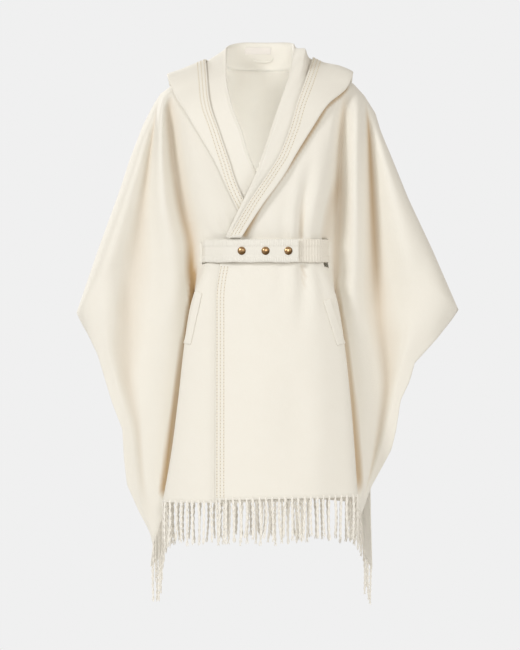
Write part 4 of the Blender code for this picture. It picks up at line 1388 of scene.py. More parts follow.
@dataclass(frozen=True)
class BrassFinish:
    """Antique brass with painted light and shade: lighter on the side towards the upper front left, darker
    and duller on the side turned away, with random stains.
    """

    name: str = "antique brass"
    painted_lit_colour: Colour = (0.66, 0.42, 0.22)
    painted_shaded_colour: Colour = (0.16, 0.09, 0.035)

    def material(self) -> Material:
        """Build the material."""
        material, wiring, shader = new_material(self.name, self.painted_lit_colour)
        place = wiring.add("TexCoord").outputs["Object"]
        stain = wiring.noise(place, 260.0, Detail=4.0)
        grain = wiring.noise(place, 1500.0, Detail=2.0)
        # Painted light and shade from the cap's attribute, with random stains added.
        share = wiring.add("Attribute", attribute_name="painted_light_and_shade").outputs["Fac"]
        share = wiring.maths("ADD", share, wiring.maths("MULTIPLY", stain, 0.3))
        colour = wiring.mixed(share, (*self.painted_lit_colour, 1.0), (*self.painted_shaded_colour, 1.0))
        rough = wiring.maths("ADD", wiring.maths("MULTIPLY", share, 0.22), 0.24)
        bump = wiring.add("Bump", {"Height": grain, "Strength": 0.2, "Distance": 0.0001})
        wiring.feed(shader, {
            "Base Color": colour, "Roughness": rough, "Normal": bump.outputs["Normal"], "Metallic": 0.95,
        })
        return material


class Finish(Enum):
    """The cape's finishes."""

    WOOL = "ivory wool"
    YARN = "ivory yarn"
    WEBBING = "off-white webbing"
    ELASTIC = "cream elastic"
    SATIN = "satin tape"
    THREAD = "trim thread"
    # Dark discs of painted shade that stand for the trim's holes.
    HOLE_SHADE = "trim hole painted shade"
    BRASS = "antique brass"


FINISHES = (
    ClothFinish(Finish.WOOL.value, Effect.NAP, (0.89, 0.865, 0.8), (0.83, 0.785, 0.69),
                {"Mottle": 0.55, "Twill": 0.22}, 0.0007, 0.25),
    ClothFinish(Finish.YARN.value, Effect.RIBS, (0.96, 0.93, 0.87), (0.84, 0.79, 0.69),
                {"Scale": 150.0, "Contrast": 0.14}, 0.0002, 0.2),
    ClothFinish(Finish.WEBBING.value, Effect.RIBS, (0.88, 0.86, 0.8), (0.74, 0.69, 0.6),
                {"Scale": 190.0, "Contrast": 0.2}, 0.0003, 0.15),
    ClothFinish(Finish.ELASTIC.value, Effect.RIBS, (0.87, 0.83, 0.75), (0.7, 0.64, 0.54),
                {"Scale": 190.0, "Contrast": 0.3}, 0.0003, 0.15),
    ClothFinish(Finish.SATIN.value, Effect.RIBS, (0.86, 0.82, 0.77), (0.78, 0.72, 0.68),
                {"Scale": 500.0, "Contrast": 0.15}, 0.0001, 0.4),
    ClothFinish(Finish.THREAD.value, Effect.RIBS, (0.88, 0.83, 0.7), (0.7, 0.61, 0.46),
                {"Scale": 900.0, "Contrast": 0.35}, 0.0002, 0.2),
    # Painted shade in the trim's holes.
    ClothFinish(Finish.HOLE_SHADE.value, Effect.NAP, (0.62, 0.53, 0.4), (0.5, 0.41, 0.28),
                {"Mottle": 0.6, "Twill": 0.1}, 0.0003, 0.0),
    BrassFinish(),
)


@dataclass
class MeshBuild:
    """Gathers vertices, faces and flat places, and makes one mesh piece of them."""

    vertices: list = field(default_factory=list)
    faces: list = field(default_factory=list)
    places: list = field(default_factory=list)

    def grid(self, points: Array, places: Array, flip: bool = False, holes: frozenset = frozenset()) -> int:
        """Add a grid of faces.

        Args:
            points: Rows of points.
            places: Flat place of each point.
            flip: Whether the faces point the other way.
            holes: Cells left open.

        Returns:
            Number of the grid's first vertex.
        """
        base = len(self.vertices)
        self.vertices.extend(map(tuple, points.reshape(-1, 3)))
        self.places.extend(map(tuple, places.reshape(-1, places.shape[-1])))
        for cell in cells_of(points, holes):
            face = tuple(base + corner for corner in cell)
            self.faces.append(face[::-1] if flip else face)
        return base

    def tube(self, points: Array, places: Array, flip: bool = False) -> None:
        """Add a tube with closed ends.

        Args:
            points: Rings of points, each ending where it starts.
            places: Flat place of each point.
            flip: Whether the faces point the other way.
        """
        base = self.grid(points, places, flip)
        rings, size = points.shape[:2]
        last = base + (rings - 1) * size
        way = -1 if flip else 1
        self.faces.append(tuple(range(base, base + size - 1))[::way])
        self.faces.append(tuple(range(last, last + size - 1))[::-way])

    def piece(self, name: str, finish: Finish, slot: str) -> Object:
        """Make the piece.

        Args:
            name: Name of the piece.
            finish: Its finish.
            slot: Not used.

        Returns:
            The object, which rides on the cape's one body.
        """
        used = sorted({v for face in self.faces for v in face})
        order = {old: new for new, old in enumerate(used)}
        mesh = bpy.data.meshes.new(name)
        corners = [tuple(map(float, self.vertices[v])) for v in used]
        mesh.from_pydata(corners, [], [tuple(order[v] for v in face) for face in self.faces])
        layer = mesh.uv_layers.new(name="cloth")
        flat = np.array([self.places[v][:2] for v in used], float)
        # The third value of a place is the share of painted shade, kept in the fold attribute.
        depth = np.array([self.places[v][2] if len(self.places[v]) > 2 else 0.0 for v in used], np.float32)
        mesh.attributes.new("fold", "FLOAT", "POINT").data.foreach_set("value", depth)
        loops = np.empty(len(mesh.loops), np.int32)
        mesh.loops.foreach_get("vertex_index", loops)
        layer.data.foreach_set("uv", flat[loops].astype(np.float32).ravel())
        mesh.materials.append(bpy.data.materials[finish.value])
        mesh.shade_smooth()
        mesh.set_sharp_from_angle(angle=math.radians(SHARP_ANGLE))
        thing = bpy.data.objects.new(name, mesh)
        bpy.context.scene.collection.objects.link(thing)
        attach(thing, "root")
        return thing


def hollows(grid: Array, reach: int = 3 * FINE) -> Array:
    """How far each point lies in a hollow of the sheet, with a sign for the side, which sets the painted
    shade in the cloth's colour.

    Args:
        grid: Rows of points.
        reach: Cells to each side that are felt.

    Returns:
        Value at each point: above 0 where the outer face is hollow.
    """
    normals = grid_normals(grid)
    total = np.zeros(grid.shape[:2])
    for cells in (reach // 3, reach // 2, reach):
        left = np.clip(np.arange(grid.shape[1]) - cells, 0, None)
        right = np.clip(np.arange(grid.shape[1]) + cells, None, grid.shape[1] - 1)
        mid = (grid[:, right] + grid[:, left]) / 2 - grid
        span = np.maximum(np.linalg.norm(grid[:, right] - grid[:, left], axis=2), 1e-6)
        total += 0.4 * np.sum(mid * normals, axis=2) / span
    return np.clip(total, -HOLLOW_LIMIT, HOLLOW_LIMIT)


def flat_places(grid: Array) -> Array:
    """Flat place of each grid point, measured along its row and its column, and its hollow, the share of
    painted shade.

    Args:
        grid: Rows of points.

    Returns:
        Place of each point.
    """
    along = np.linalg.norm(np.diff(grid, axis=1), axis=2)
    down = np.linalg.norm(np.diff(grid, axis=0), axis=2)
    zeros = np.zeros((grid.shape[0], 1))
    u = np.concatenate([zeros, np.cumsum(along, axis=1)], axis=1)
    u = u - u.mean(axis=1, keepdims=True)
    v = np.concatenate([np.zeros((1, grid.shape[1])), np.cumsum(down, axis=0)], axis=0)
    return np.stack([u, v, hollows(grid)], axis=2)


def shell(
    grid: Array,
    normals: Array,
    thickness: float,
    holes: frozenset = frozenset(),
    shade: float | Array = 0.0,
) -> MeshBuild:
    """Cloth shell round a grid, its free edges turned over in a soft rim.

    Args:
        grid: Rows of middle points.
        normals: Their normals.
        thickness: Thickness of the cloth.
        holes: Cells left open.
        shade: Painted shade of each point's outer face, added to the painted shade of its hollow.

    Returns:
        The mesh build.
    """
    places = flat_places(grid)
    places[..., 2] += shade
    build = MeshBuild()
    build.grid(grid + normals * thickness / 2, places, holes=holes)
    inner = places * np.array((1.0, 1.0, -1.0))
    under = build.grid(grid - normals * thickness / 2, inner, flip=True, holes=holes)
    edges = {}
    for cell in cells_of(grid, holes):
        edges.update(dict.fromkeys(zip(cell, cell[1:] + cell[:1])))
    points = grid.reshape(-1, 3)
    facing = normals.reshape(-1, 3)
    flat = places.reshape(-1, 3)
    rim = [(p, q) for p, q in edges if (q, p) not in edges]
    outward = {}
    for p, q in rim:
        way = unit(np.cross(points[q] - points[p], facing[p]))
        for end in (p, q):
            outward[end] = outward.get(end, np.zeros(3)) + way
    middle = {}
    for number, way in outward.items():
        middle[number] = len(build.vertices)
        build.vertices.append(tuple(points[number] + unit(way) * thickness * RIM_BULGE))
        build.places.append(tuple(flat[number]))
    for p, q in rim:
        build.faces.append((q, p, middle[p], middle[q]))
        build.faces.append((middle[q], middle[p], under + p, under + q))
    return build


def joined(back: Array, front: Array, front_corner: int, corner: int, last: int) -> Array:
    """Back grid with the outer line of one arm brought onto a front's.

    Args:
        back: Rows of points of the back.
        front: Rows of points of the front, the free edge first.
        front_corner: Row of the front's wing corner.
        corner: Row of the back's wing corner.
        last: Column of the back's seam, 0 or -1.

    Returns:
        The joined grid.
    """
    back = back.copy()
    shoulder = front[0, JOIN_START_CELL * FINE : -1]
    line = np.concatenate([shoulder, front[: front_corner + 1, -1]])[::-1]
    edge = back[: corner + 1, last]
    shift = np.interp(edge[:, 2], line[:, 2], line[:, 0]) - edge[:, 0]
    reach = JOIN_CELLS * FINE
    below = shift[-1] * step(1.0 - np.arange(1, reach + 1) / reach)
    shift = np.concatenate([shift, below])
    for cells in range(reach):
        column = cells if last == 0 else -1 - cells
        back[: len(shift), column, 0] += shift * step(1.0 - cells / reach)
    return back


@dataclass
class Panels:
    """The two fronts and the back, and the creases placed in them."""

    sway: float = 0.0007
    slit_cells: int = 3
    left_creases: tuple[Crease, ...] = (
        Crease(((70, -332), (74, -270), (88, -200), (104, -130)), 0.008, 0.008, 0.02, 0.8),
        Crease(((40, -330), (34, -300), (34, -260)), 0.006, 0.002, 0.05, 0.7),
        Crease(((74, -374), (78, -430), (68, -540)), 0.009, 0.007, 0.02, 0.8),
        Crease(((30, -378), (30, -420), (20, -470)), 0.008, 0.0018, 0.05, 0.7),
        Crease(((-50, -378), (-54, -430), (-60, -500)), 0.008, 0.0014, 0.05, 0.7),
        Crease(((100, -384), (112, -430), (122, -500)), 0.007, 0.0026, 0.05, 0.6),
        Crease(((50, -560), (60, -700), (56, -830)), 0.026, 0.003, 0.4, 0.4),
        Crease(((300, -330), (310, -430), (290, -560)), 0.016, 0.004, 0.3, 0.4),
    )
    right_creases: tuple[Crease, ...] = (
        Crease(((-82, -325), (-96, -298), (-112, -262)), 0.005, 0.0034, 0.05, 0.6),
        Crease(((-94, -325), (-108, -302), (-124, -276)), 0.004, 0.0026, 0.05, 0.6),
        Crease(((-68, -325), (-74, -296), (-86, -260)), 0.005, 0.002, 0.05, 0.6),
        Crease(((-110, -384), (-120, -410), (-132, -450)), 0.006, 0.0026, 0.05, 0.6),
        Crease(((-134, -284), (-154, -288), (-176, -282)), 0.004, 0.0012, 0.2, 0.4),
        Crease(((-300, -380), (-306, -470), (-296, -560)), 0.012, 0.004, 0.3, 0.4),
    )
    back_creases: tuple[Crease, ...] = (
        Crease(((100, -340), (90, -260), (98, -180)), 0.008, 0.004, 0.1, 0.6),
        Crease(((-90, -340), (-100, -270), (-96, -170)), 0.009, 0.0045, 0.1, 0.6),
        Crease(((30, -350), (36, -300), (30, -240)), 0.007, 0.0024, 0.1, 0.6),
        Crease(((60, -376), (68, -460), (62, -580)), 0.012, 0.005, 0.1, 0.6),
        Crease(((-44, -376), (-52, -470), (-60, -620)), 0.012, 0.0056, 0.1, 0.6),
        Crease(((-6, -380), (4, -500), (10, -700)), 0.016, 0.004, 0.2, 0.5),
    )

    left_tucks: tuple[Tuck, ...] = (
        Tuck(10.9, 1.1, ((-50, 0), (-110, 4), (-220, 7), (-310, 8), (-345, 5), (-400, 7),
            (-520, 8), (-700, 7), (-850, 6))),
        Tuck(15.0, 0.95, ((-50, 6), (-110, 12), (-250, 14), (-400, 12), (-560, 7), (-680, 0), (-850, 0))),
        Tuck(12.8, 0.8, ((-60, 0), (-200, -4), (-400, -5), (-600, 0), (-850, 0))),
    )
    right_tucks: tuple[Tuck, ...] = (
        Tuck(11.0, 1.0, ((-50, 4), (-110, 7), (-220, 8), (-310, 7), (-345, 5), (-400, 9),
            (-520, 12), (-700, 12), (-860, 10))),
        Tuck(15.0, 1.1, ((-60, 4), (-130, 8), (-350, 10), (-560, 8), (-700, 0), (-860, 0))),
        Tuck(12.9, 0.8, ((-60, 0), (-200, -4), (-400, -5), (-600, 0), (-860, 0))),
    )
    back_left_tucks: tuple[Tuck, ...] = (
        Tuck(2.2, 1.0, ((-250, 0), (-380, 4), (-600, 9), (-850, 12))),
        Tuck(5.6, 0.9, ((-260, 0), (-380, 7), (-600, 10), (-850, 8))),
        Tuck(8.2, 1.0, ((-50, 0), (-150, 10), (-350, 18), (-600, 20), (-850, 16))),
        Tuck(12.2, 1.1, ((-60, 4), (-200, 12), (-400, 14), (-600, 6), (-850, 0))),
    )
    back_right_tucks: tuple[Tuck, ...] = (
        Tuck(3.6, 1.2, ((-250, 0), (-380, 5), (-600, 11), (-850, 14))),
        Tuck(8.0, 1.0, ((-50, 0), (-150, 12), (-350, 20), (-600, 18), (-850, 12))),
        Tuck(11.8, 1.0, ((-60, 4), (-200, 10), (-400, 15), (-600, 9), (-850, 0))),
    )

    # Painted shade: darker warm colour along the wings' folds, in the gap beside the body, as a painted
    # shadow under the lapel's edge and along the creases at the waist.
    left_shades: tuple[Tuck, ...] = (
        Tuck(15.0, 0.35, ((-60, 100), (-120, 500), (-300, 400), (-450, 200), (-600, 0), (-850, 0))),
    )
    right_shades: tuple[Tuck, ...] = (
        Tuck(11.3, 0.5, ((-200, 0), (-330, 400), (-400, 800), (-500, 500), (-850, 0), (-870, 0))),
    )
    left_gap: Crease = Crease(((142, -400), (146, -431), (162, -537), (174, -648), (184, -766),
                           (190, -848)), 0.006, 0.8, 0.15, 0.1)
    right_gap: Crease = Crease(((-126, -360), (-145, -431), (-163, -537), (-178, -648),
                            (-190, -736), (-205, -850)), 0.006, 1.0, 0.1, 0.05)
    left_lines: tuple[Crease, ...] = (
        Crease(((172, -18), (146, -46), (120, -69), (103, -98), (74, -143), (46, -185),
            (17, -223), (-11, -263), (-45, -330)), 0.0046, 1.0, 0.05, 0.03),
        Crease(((152, -170), (142, -220), (124, -284), (116, -334)), 0.009, 0.34, 0.5, 0.05),
        Crease(((71, -332), (74, -290), (84, -240)), 0.005, 0.36, 0.02, 0.8),
        Crease(((74, -374), (77, -410), (76, -460)), 0.005, 0.36, 0.02, 0.8),
    )

    def folded(self, grid: Array, tucks: tuple, creases: tuple, seed: int) -> Array:
        """Grid of a front, the free edge first, with its folds and the sway of a seed."""
        columns = np.arange(grid.shape[1]) / FINE
        return creased(tucked(relaxed(grid, 5), tucks, columns, 1.0), creases, self.sway, seed)

    def folded_back(self, grid: Array) -> Array:
        """Back grid with its folds.

        Args:
            grid: Rows of points, from the wearer's left to the right.

        Returns:
            The folded grid.
        """
        columns = np.abs(np.arange(grid.shape[1]) - grid.shape[1] // 2) / FINE
        grid = relaxed(grid, 5)
        left = tucked(grid, self.back_left_tucks, columns, -1.0)
        right = tucked(grid, self.back_right_tucks, columns, -1.0)
        side = step((grid[..., :1] + 0.03) / 0.06)
        return creased(right + (left - right) * side, self.back_creases, self.sway * 1.4, 5)

    def shades(self, grid: Array, tucks: tuple, lines: tuple, gap: Crease) -> Array:
        """Painted shade of each point of a front, the free edge first.

        Args:
            grid: Rows of points.
            tucks: Shades along the fall lines.
            lines: Shades along lines seen from the front.
            gap: Shade of the wing beside the body.

        Returns:
            Shade of each point, 0 for none.
        """
        columns = np.arange(grid.shape[1]) / FINE
        total = sum(tuck.inwards(grid, columns) for tuck in tucks)
        total = total + np.clip(gap.depths(grid), 0.0, None) * step((columns - WING_CELL) / 0.6)[None, :]
        return total + sum(np.clip(line.depths(grid), 0.0, None) for line in lines)

    def draft(self) -> None:
        """Draft the three grids and the hood on them."""
        left, self.left_corner = front_grid(LEFT_FRONT, LEFT_ARM, LEFT_FRONT_EDGE, LEFT_SLIT, over=True)
        right, self.right_corner = front_grid(
            RIGHT_FRONT, RIGHT_ARM, RIGHT_FRONT_EDGE, RIGHT_SLIT, over=False
        )
        back, self.back_corner = back_grid()
        self.left = self.folded(left, self.left_tucks, self.left_creases, 3)
        right = self.folded(right, self.right_tucks, self.right_creases, 4)
        self.right = right[:, ::-1]
        back = joined(self.folded_back(back), self.left, self.left_corner, self.back_corner, 0)
        self.back = joined(back, right, self.right_corner, self.back_corner, -1)
        self.hood = refined(hood_grid((self.left, self.right, self.back)), 3)

    def build(self) -> None:
        """Make the shells of the fronts, the back and the hood."""
        self.pieces: dict[str, Object] = {}
        cols = self.left.shape[1]
        slit = frozenset(
            (i, j)
            for i in range(SLIT_ROWS[0] * FINE + 2, (SLIT_ROWS[-1] + 1) * FINE - 1)
            for j in range(SLIT_COLUMNS[0] * FINE, SLIT_COLUMNS[0] * FINE + self.slit_cells)
        )
        mirrored = frozenset((i, cols - 2 - j) for i, j in slit)
        self.left_out = wall_normals(self.left, ((0, slice(None)), (slice(0, self.left_corner + 1), -1)))
        self.right_out = wall_normals(self.right, ((0, slice(None)), (slice(0, self.right_corner + 1), 0)))
        beside = np.flatnonzero(np.abs(self.back[0, :, 0]) >= NECK_POINT_X)
        middle = self.back.shape[1] // 2
        seams = (
            (0, beside[beside < middle]),
            (0, beside[beside > middle]),
            (slice(0, self.back_corner + 1), 0),
            (slice(0, self.back_corner + 1), -1),
        )
        self.back_out = wall_normals(self.back, seams)
        left_shade = self.shades(self.left, self.left_shades, self.left_lines, self.left_gap)
        right_shade = self.shades(self.right[:, ::-1], self.right_shades, (), self.right_gap)[:, ::-1]
        for name, grid, out, holes, shade in (
            ("front_left", self.left, self.left_out, slit, left_shade),
            ("front_right", self.right, self.right_out, mirrored, right_shade),
            ("back_panel", self.back, self.back_out, frozenset(), 0.0),
            ("hood", self.hood, grid_normals(self.hood), frozenset(), 0.0),
        ):
            piece = shell(grid, out, SHELL, holes, shade).piece("cloth_" + name, Finish.WOOL, "cloth")
            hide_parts(name)
            self.pieces[name] = piece
            LOG.info("%s: %d faces, %.3f m2", piece.name, len(piece.data.polygons), sheet_area(grid))


def sheet_area(grid: Array) -> float:
    """Area of a grid's surface, in square metres."""
    first = grid[1:, :-1] - grid[:-1, :-1]
    second = grid[:-1, 1:] - grid[:-1, :-1]
    return float(np.linalg.norm(np.cross(first, second), axis=2).sum())


@dataclass(frozen=True)
class Hemstitch:
    """Three rows of pulled-thread holes with thread bars between them; each hole is a dark disc on the
    cloth's face, painted shade where the opening would be.
    """

    insets: tuple[float, ...] = (0.003, 0.0098, 0.0166)
    pitch: float = 0.0068
    hole: tuple[float, float] = (0.0016, 0.0012)
    bar: tuple[float, float] = (0.0013, 0.0044)

    def rows(self, grid: Array, normals: Array, inset: float) -> Array:
        """Line on a shell's face at a distance from the first column.

        Args:
            grid: Rows of points, the free edge first.
            normals: Their normals.
            inset: Distance from the edge.

        Returns:
            Point, way inwards and normal for each row.
        """
        found = []
        for row, out in zip(grid, normals):
            at = run_lengths(row)
            point = read_at(inset, at, row)
            further = read_at(inset + 0.002, at, row)
            found.append(np.concatenate([point, further - point, read_at(inset, at, out)]))
        return np.array(found)

    def stitch(self, name: str, grids: list[tuple[Array, Array]]) -> list[Object]:
        """Make the holes and the thread bars of every row.

        Args:
            name: Name of what they are sewn on.
            grids: Points and normals, with the free edge as first column.

        Returns:
            The two pieces.
        """
        holes = MeshBuild()
        bars = MeshBuild()
        for grid, normals in grids:
            for inset in self.insets:
                line = self.rows(grid, normals, inset)
                at = run_lengths(line[:, :3])
                for k in range(int(at[-1] / self.pitch)):
                    for build, shift in ((holes, 0.25), (bars, 0.75)):
                        where = (k + shift) * self.pitch
                        place = read_at(where, at, line)
                        ahead = read_at(where + 0.001, at, line[:, :3])
                        self.add(build, place, ahead - place[:3], build is bars)
        return [
            holes.piece(f"{name}_hemstitch_hole_shade", Finish.HOLE_SHADE, "cloth"),
            bars.piece(f"{name}_hemstitch_threads", Finish.THREAD, "cloth"),
        ]

    def add(self, build: MeshBuild, place: Array, along: Array, bar: bool) -> None:
        """Add one hole or one thread bar.

        Args:
            build: Build that takes it.
            place: Point, way inwards and normal.
            along: Way of the row.
            bar: A thread bar, not a hole.
        """
        out = unit(place[6:])
        along = unit(along - out * (along @ out))
        across_row = np.cross(out, along)
        seat = place[:3] + out * (SHELL / 2)
        base = len(build.vertices)
        half_along, half_across = (self.bar[0], self.bar[1] / 2) if bar else self.hole
        rings = ((1.0, -0.0002), (0.86, 0.0003), (0.45, 0.00062)) if bar else ((1.0, -0.0002), (0.8, 0.00012))
        sides = 6
        for size, height in rings:
            for k in range(sides):
                turn = math.tau * k / sides
                point = seat + out * height
                point = point + along * half_along * size * math.cos(turn)
                point = point + across_row * half_across * size * math.sin(turn)
                build.vertices.append(tuple(point))
                build.places.append((point[0], point[2]))
        for ring in range(len(rings) - 1):
            for k in range(sides):
                a = base + ring * sides + k
                b = base + ring * sides + (k + 1) % sides
                build.faces.append((a, b, b + sides, a + sides))
        top = base + (len(rings) - 1) * sides
        build.faces.append(tuple(range(top, top + sides)))
        build.faces.append(tuple(range(base, base + sides))[::-1])


@dataclass(frozen=True)
class Belt:
    """Pale band with ribbed borders, its tab lying on the elastic length."""

    step: float = 0.0011
    rib_pitch: float = 0.0046
    border_rib: float = 0.00055
    middle_rib: float = 0.00007
    elastic_rib: float = 0.0006
    elastic_pitch: float = 0.0058
    edge_wave: float = 0.0005

    def section(self, along: float, elastic: bool, sway: float) -> list[tuple[float, float]]:
        """Outline of the band at a place along it.

        Args:
            along: Distance along the belt.
            elastic: Whether this is the elastic length.
            sway: Shift of the lower edge.

        Returns:
            Offset outwards and height of each point.
        """
        pitch = self.elastic_pitch if elastic else self.rib_pitch
        swing = math.cos(math.tau * along / pitch)
        border = self.elastic_rib if elastic else self.border_rib
        centre = self.elastic_rib * 0.7 if elastic else self.middle_rib
        low = BELT_TOP - BELT_HEIGHT
        face = BELT_THICKNESS / 2
        rows = []
        for height, lift, rib in BELT_PROFILE:
            rows.append((height, face + lift + swing * (rib * border + (1.0 - rib) * centre)))
        mirrored = [(BELT_HEIGHT - height, offset) for height, offset in reversed(rows[:-1])]
        outline = []
        for height, offset in rows + mirrored:
            outline.append((offset, low + height + (sway if height < 0.004 else 0.0)))
        outline.append((-face, BELT_TOP - 0.0006))
        outline.append((-face, low + 0.0006 + sway))
        return outline

    def build(self, left: Array, right: Array) -> tuple[Array, Array]:
        """Make both lengths.

        Args:
            left: Left front.
            right: Right front.

        Returns:
            The belt's path and runs.
        """
        rough, _ = belt_path([surface_tree(left), surface_tree(right)])
        keys = run_lengths(rough)
        count = int(keys[-1] / self.step) + 1
        path = smooth(keys, rough, np.linspace(0.0, keys[-1], count))
        runs = unit(np.gradient(path, axis=0))
        split = round(count * ELASTIC_STATIONS / (BELT_STATIONS - 1))
        chance = random.Random(9)
        turns = [chance.uniform(0.0, math.tau) for _ in range(3)]
        for name, node, part, elastic, finish, slot in (
            ("belt_elastic_webbing", "belt_elastic", slice(0, split + 1), True, Finish.ELASTIC, "elastic"),
            ("belt_band_webbing", "belt_band", slice(split, count), False, Finish.WEBBING, "ribbing"),
        ):
            build = MeshBuild()
            rows = []
            flat = []
            for number in range(*part.indices(count)):
                along = number * self.step
                wave = math.sin(along * 270.0 + turns[0]) * 0.5 + math.sin(along * 95.0 + turns[1])
                out = np.array((runs[number][1], -runs[number][0]))
                outline = self.section(along, elastic, self.edge_wave * wave)
                outline.append(outline[0])
                rows.append([(*(path[number] + out * offset), z) for offset, z in outline])
                flat.append([(along, z) for _, z in outline])
            build.tube(np.array(rows), np.array(flat), flip=True)
            piece = build.piece(name, finish, slot)
            merge_seam(piece)
            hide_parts(node)
            LOG.info("%s: %d faces", name, len(piece.data.polygons))
        return path, runs


def merge_seam(piece: Object) -> None:
    """Join the doubled points of a piece, and turn its faces outwards."""
    work = bmesh.new()
    work.from_mesh(piece.data)
    bmesh.ops.remove_doubles(work, verts=work.verts, dist=1e-6)
    bmesh.ops.recalc_face_normals(work, faces=work.faces)
    work.to_mesh(piece.data)
    work.free()


@dataclass(frozen=True)
class Snap:
    """Domed brass cap with a rolled foot, spun from a profile."""

    radius: float = SNAP_RADIUS * 1.08
    height: float = 0.004
    sides: int = 40

    def build(self, number: int, path: Array, runs: Array, tab: int) -> Object:
        """Make one snap on the tab's face.

        Args:
            number: Number of the snap, from 1.
            path: The belt's path.
            runs: Its runs.
            tab: First point of the path that lies on the tab.

        Returns:
            The piece.
        """
        x = SNAP_X[number - 1]
        place = smooth(path[tab:][:, 0], path[tab:], x)
        run = smooth(path[tab:][:, 0], runs[tab:], x)
        along = Vector((run[0], run[1], 0.0)).normalized()
        out = Vector((along.y, -along.x, 0.0))
        seat = Vector((place[0], place[1], BELT_TOP - BELT_HEIGHT / 2)) + out * (BELT_THICKNESS / 2 - 0.0001)
        bpy.ops.object.select_all(action="DESELECT")
        bpy.ops.mesh.primitive_circle_add(vertices=self.sides, radius=self.radius, fill_type="NGON")
        piece = bpy.context.object
        bpy.ops.object.mode_set(mode="EDIT")
        for rise, size in ((0.1, 1.03), (0.12, 0.985), (0.02, 0.93), (0.16, 0.95), (0.22, 0.86),
                           (0.18, 0.8), (0.1, 0.72), (0.06, 0.55), (0.02, 0.3)):
            bpy.ops.mesh.extrude_region_move(TRANSFORM_OT_translate={"value": (0.0, 0.0, rise * self.height)})
            bpy.ops.transform.resize(value=(size, size, 1.0))
        bpy.ops.object.mode_set(mode="OBJECT")
        piece.name = f"snap_cap_{number}"
        turn = Matrix((along, Vector((0.0, 0.0, 1.0)), out)).transposed().to_4x4()
        piece.data.transform(Matrix.Translation(seat) @ turn)
        piece.matrix_world = Matrix.Identity(4)
        mesh = piece.data
        merge_seam(piece)
        # Painted light and shade: the share darkens the cap on the side turned away from the upper front left
        # and lightens the side facing it.
        painted_light_and_shade = mesh.attributes.new("painted_light_and_shade", "FLOAT", "POINT")
        light_from = Vector((-0.45, -0.55, 0.7)).normalized()
        for vertex, item in zip(mesh.vertices, painted_light_and_shade.data):
            side = (vertex.co - seat - out * self.height * 0.3).normalized().dot(light_from)
            item.value = min(max(0.55 - 0.65 * side, 0.0), 1.0)
        mesh.materials.clear()
        mesh.materials.append(bpy.data.materials[Finish.BRASS.value])
        mesh.shade_smooth()
        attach(piece, "root")
        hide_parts(f"snap_{number}")
        return piece


@dataclass(frozen=True)
class Welts:
    """Pocket welts, laid on the fronts."""

    cells: tuple[int, int] = (30, 8)
    rise: float = 0.0026

    def build(self, name: str, node: str, grid: Array, place: tuple) -> Object:
        """Make one welt.

        Args:
            name: Name of the piece.
            node: Solid that it stands for.
            grid: The front that it lies on.
            place: Its centre, run, length and width.

        Returns:
            The piece.
        """
        centre, run, length, width = place
        run = unit(np.array(run))
        cross = np.array((-run[1], run[0]))
        start = np.array(centre)
        half = cross * width / 2
        foot = start + run * length
        corners = (start - half, start + half, foot - half, foot + half)
        patch = face_patch(surface_tree(grid), corners, self.rise, self.cells)
        piece = shell(patch, grid_normals(patch), SHELL).piece(name, Finish.WOOL, "cloth")
        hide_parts(node)
        return piece


@dataclass(frozen=True)
class NeckPieces:
    """Blank label and hanging loop inside the stand of the hood."""

    label_x: tuple[float, float] = (-0.04, 0.012)
    label_z: tuple[float, float] = (0.044, 0.058)
    loop_x: tuple[float, float] = (-0.026, 0.016)
    loop_z: float = 0.0375
    loop_width: float = 0.0045
    loop_sag: float = 0.006
    loop_bow: tuple[float, float] = (0.001, 0.0026)

    def on_stand(self, tree: BVHTree, x: float, z: float, off: float) -> tuple[float, float, float]:
        """Point at a distance off the inside of the stand."""
        hit = tree.ray_cast(Vector((x, 0.0, z)), Vector((0.0, 1.0, 0.0)))[0]
        return (x, hit.y - SHELL / 2 - off, z)

    def build(self, hood: Array) -> None:
        """Make both pieces.

        Args:
            hood: The hood's grid.
        """
        tree = surface_tree(hood[:, :7])
        label = np.array([
            [self.on_stand(tree, x, z, 0.0007) for x in np.linspace(*self.label_x, 27)]
            for z in np.linspace(self.label_z[1], self.label_z[0], 9)
        ])
        piece = shell(label, grid_normals(label), 0.0006).piece("blank_label", Finish.SATIN, "label")
        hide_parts("neck_label")
        rows = []
        for k in range(41):
            share = k / 40
            sag = self.loop_sag * (1.0 - (2.0 * share - 1.0) ** 4)
            x = self.loop_x[0] + (self.loop_x[1] - self.loop_x[0]) * share
            off = self.loop_bow[0] + self.loop_bow[1] * math.sin(math.pi * share)
            top = self.loop_z - sag
            rows.append([self.on_stand(tree, x, top - part * self.loop_width / 4, off) for part in range(5)])
        loop = np.array(rows).transpose(1, 0, 2)
        piece = shell(loop, grid_normals(loop), 0.0012).piece("hanging_loop_tape", Finish.WOOL, "cloth")
        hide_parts("hanging_loop")


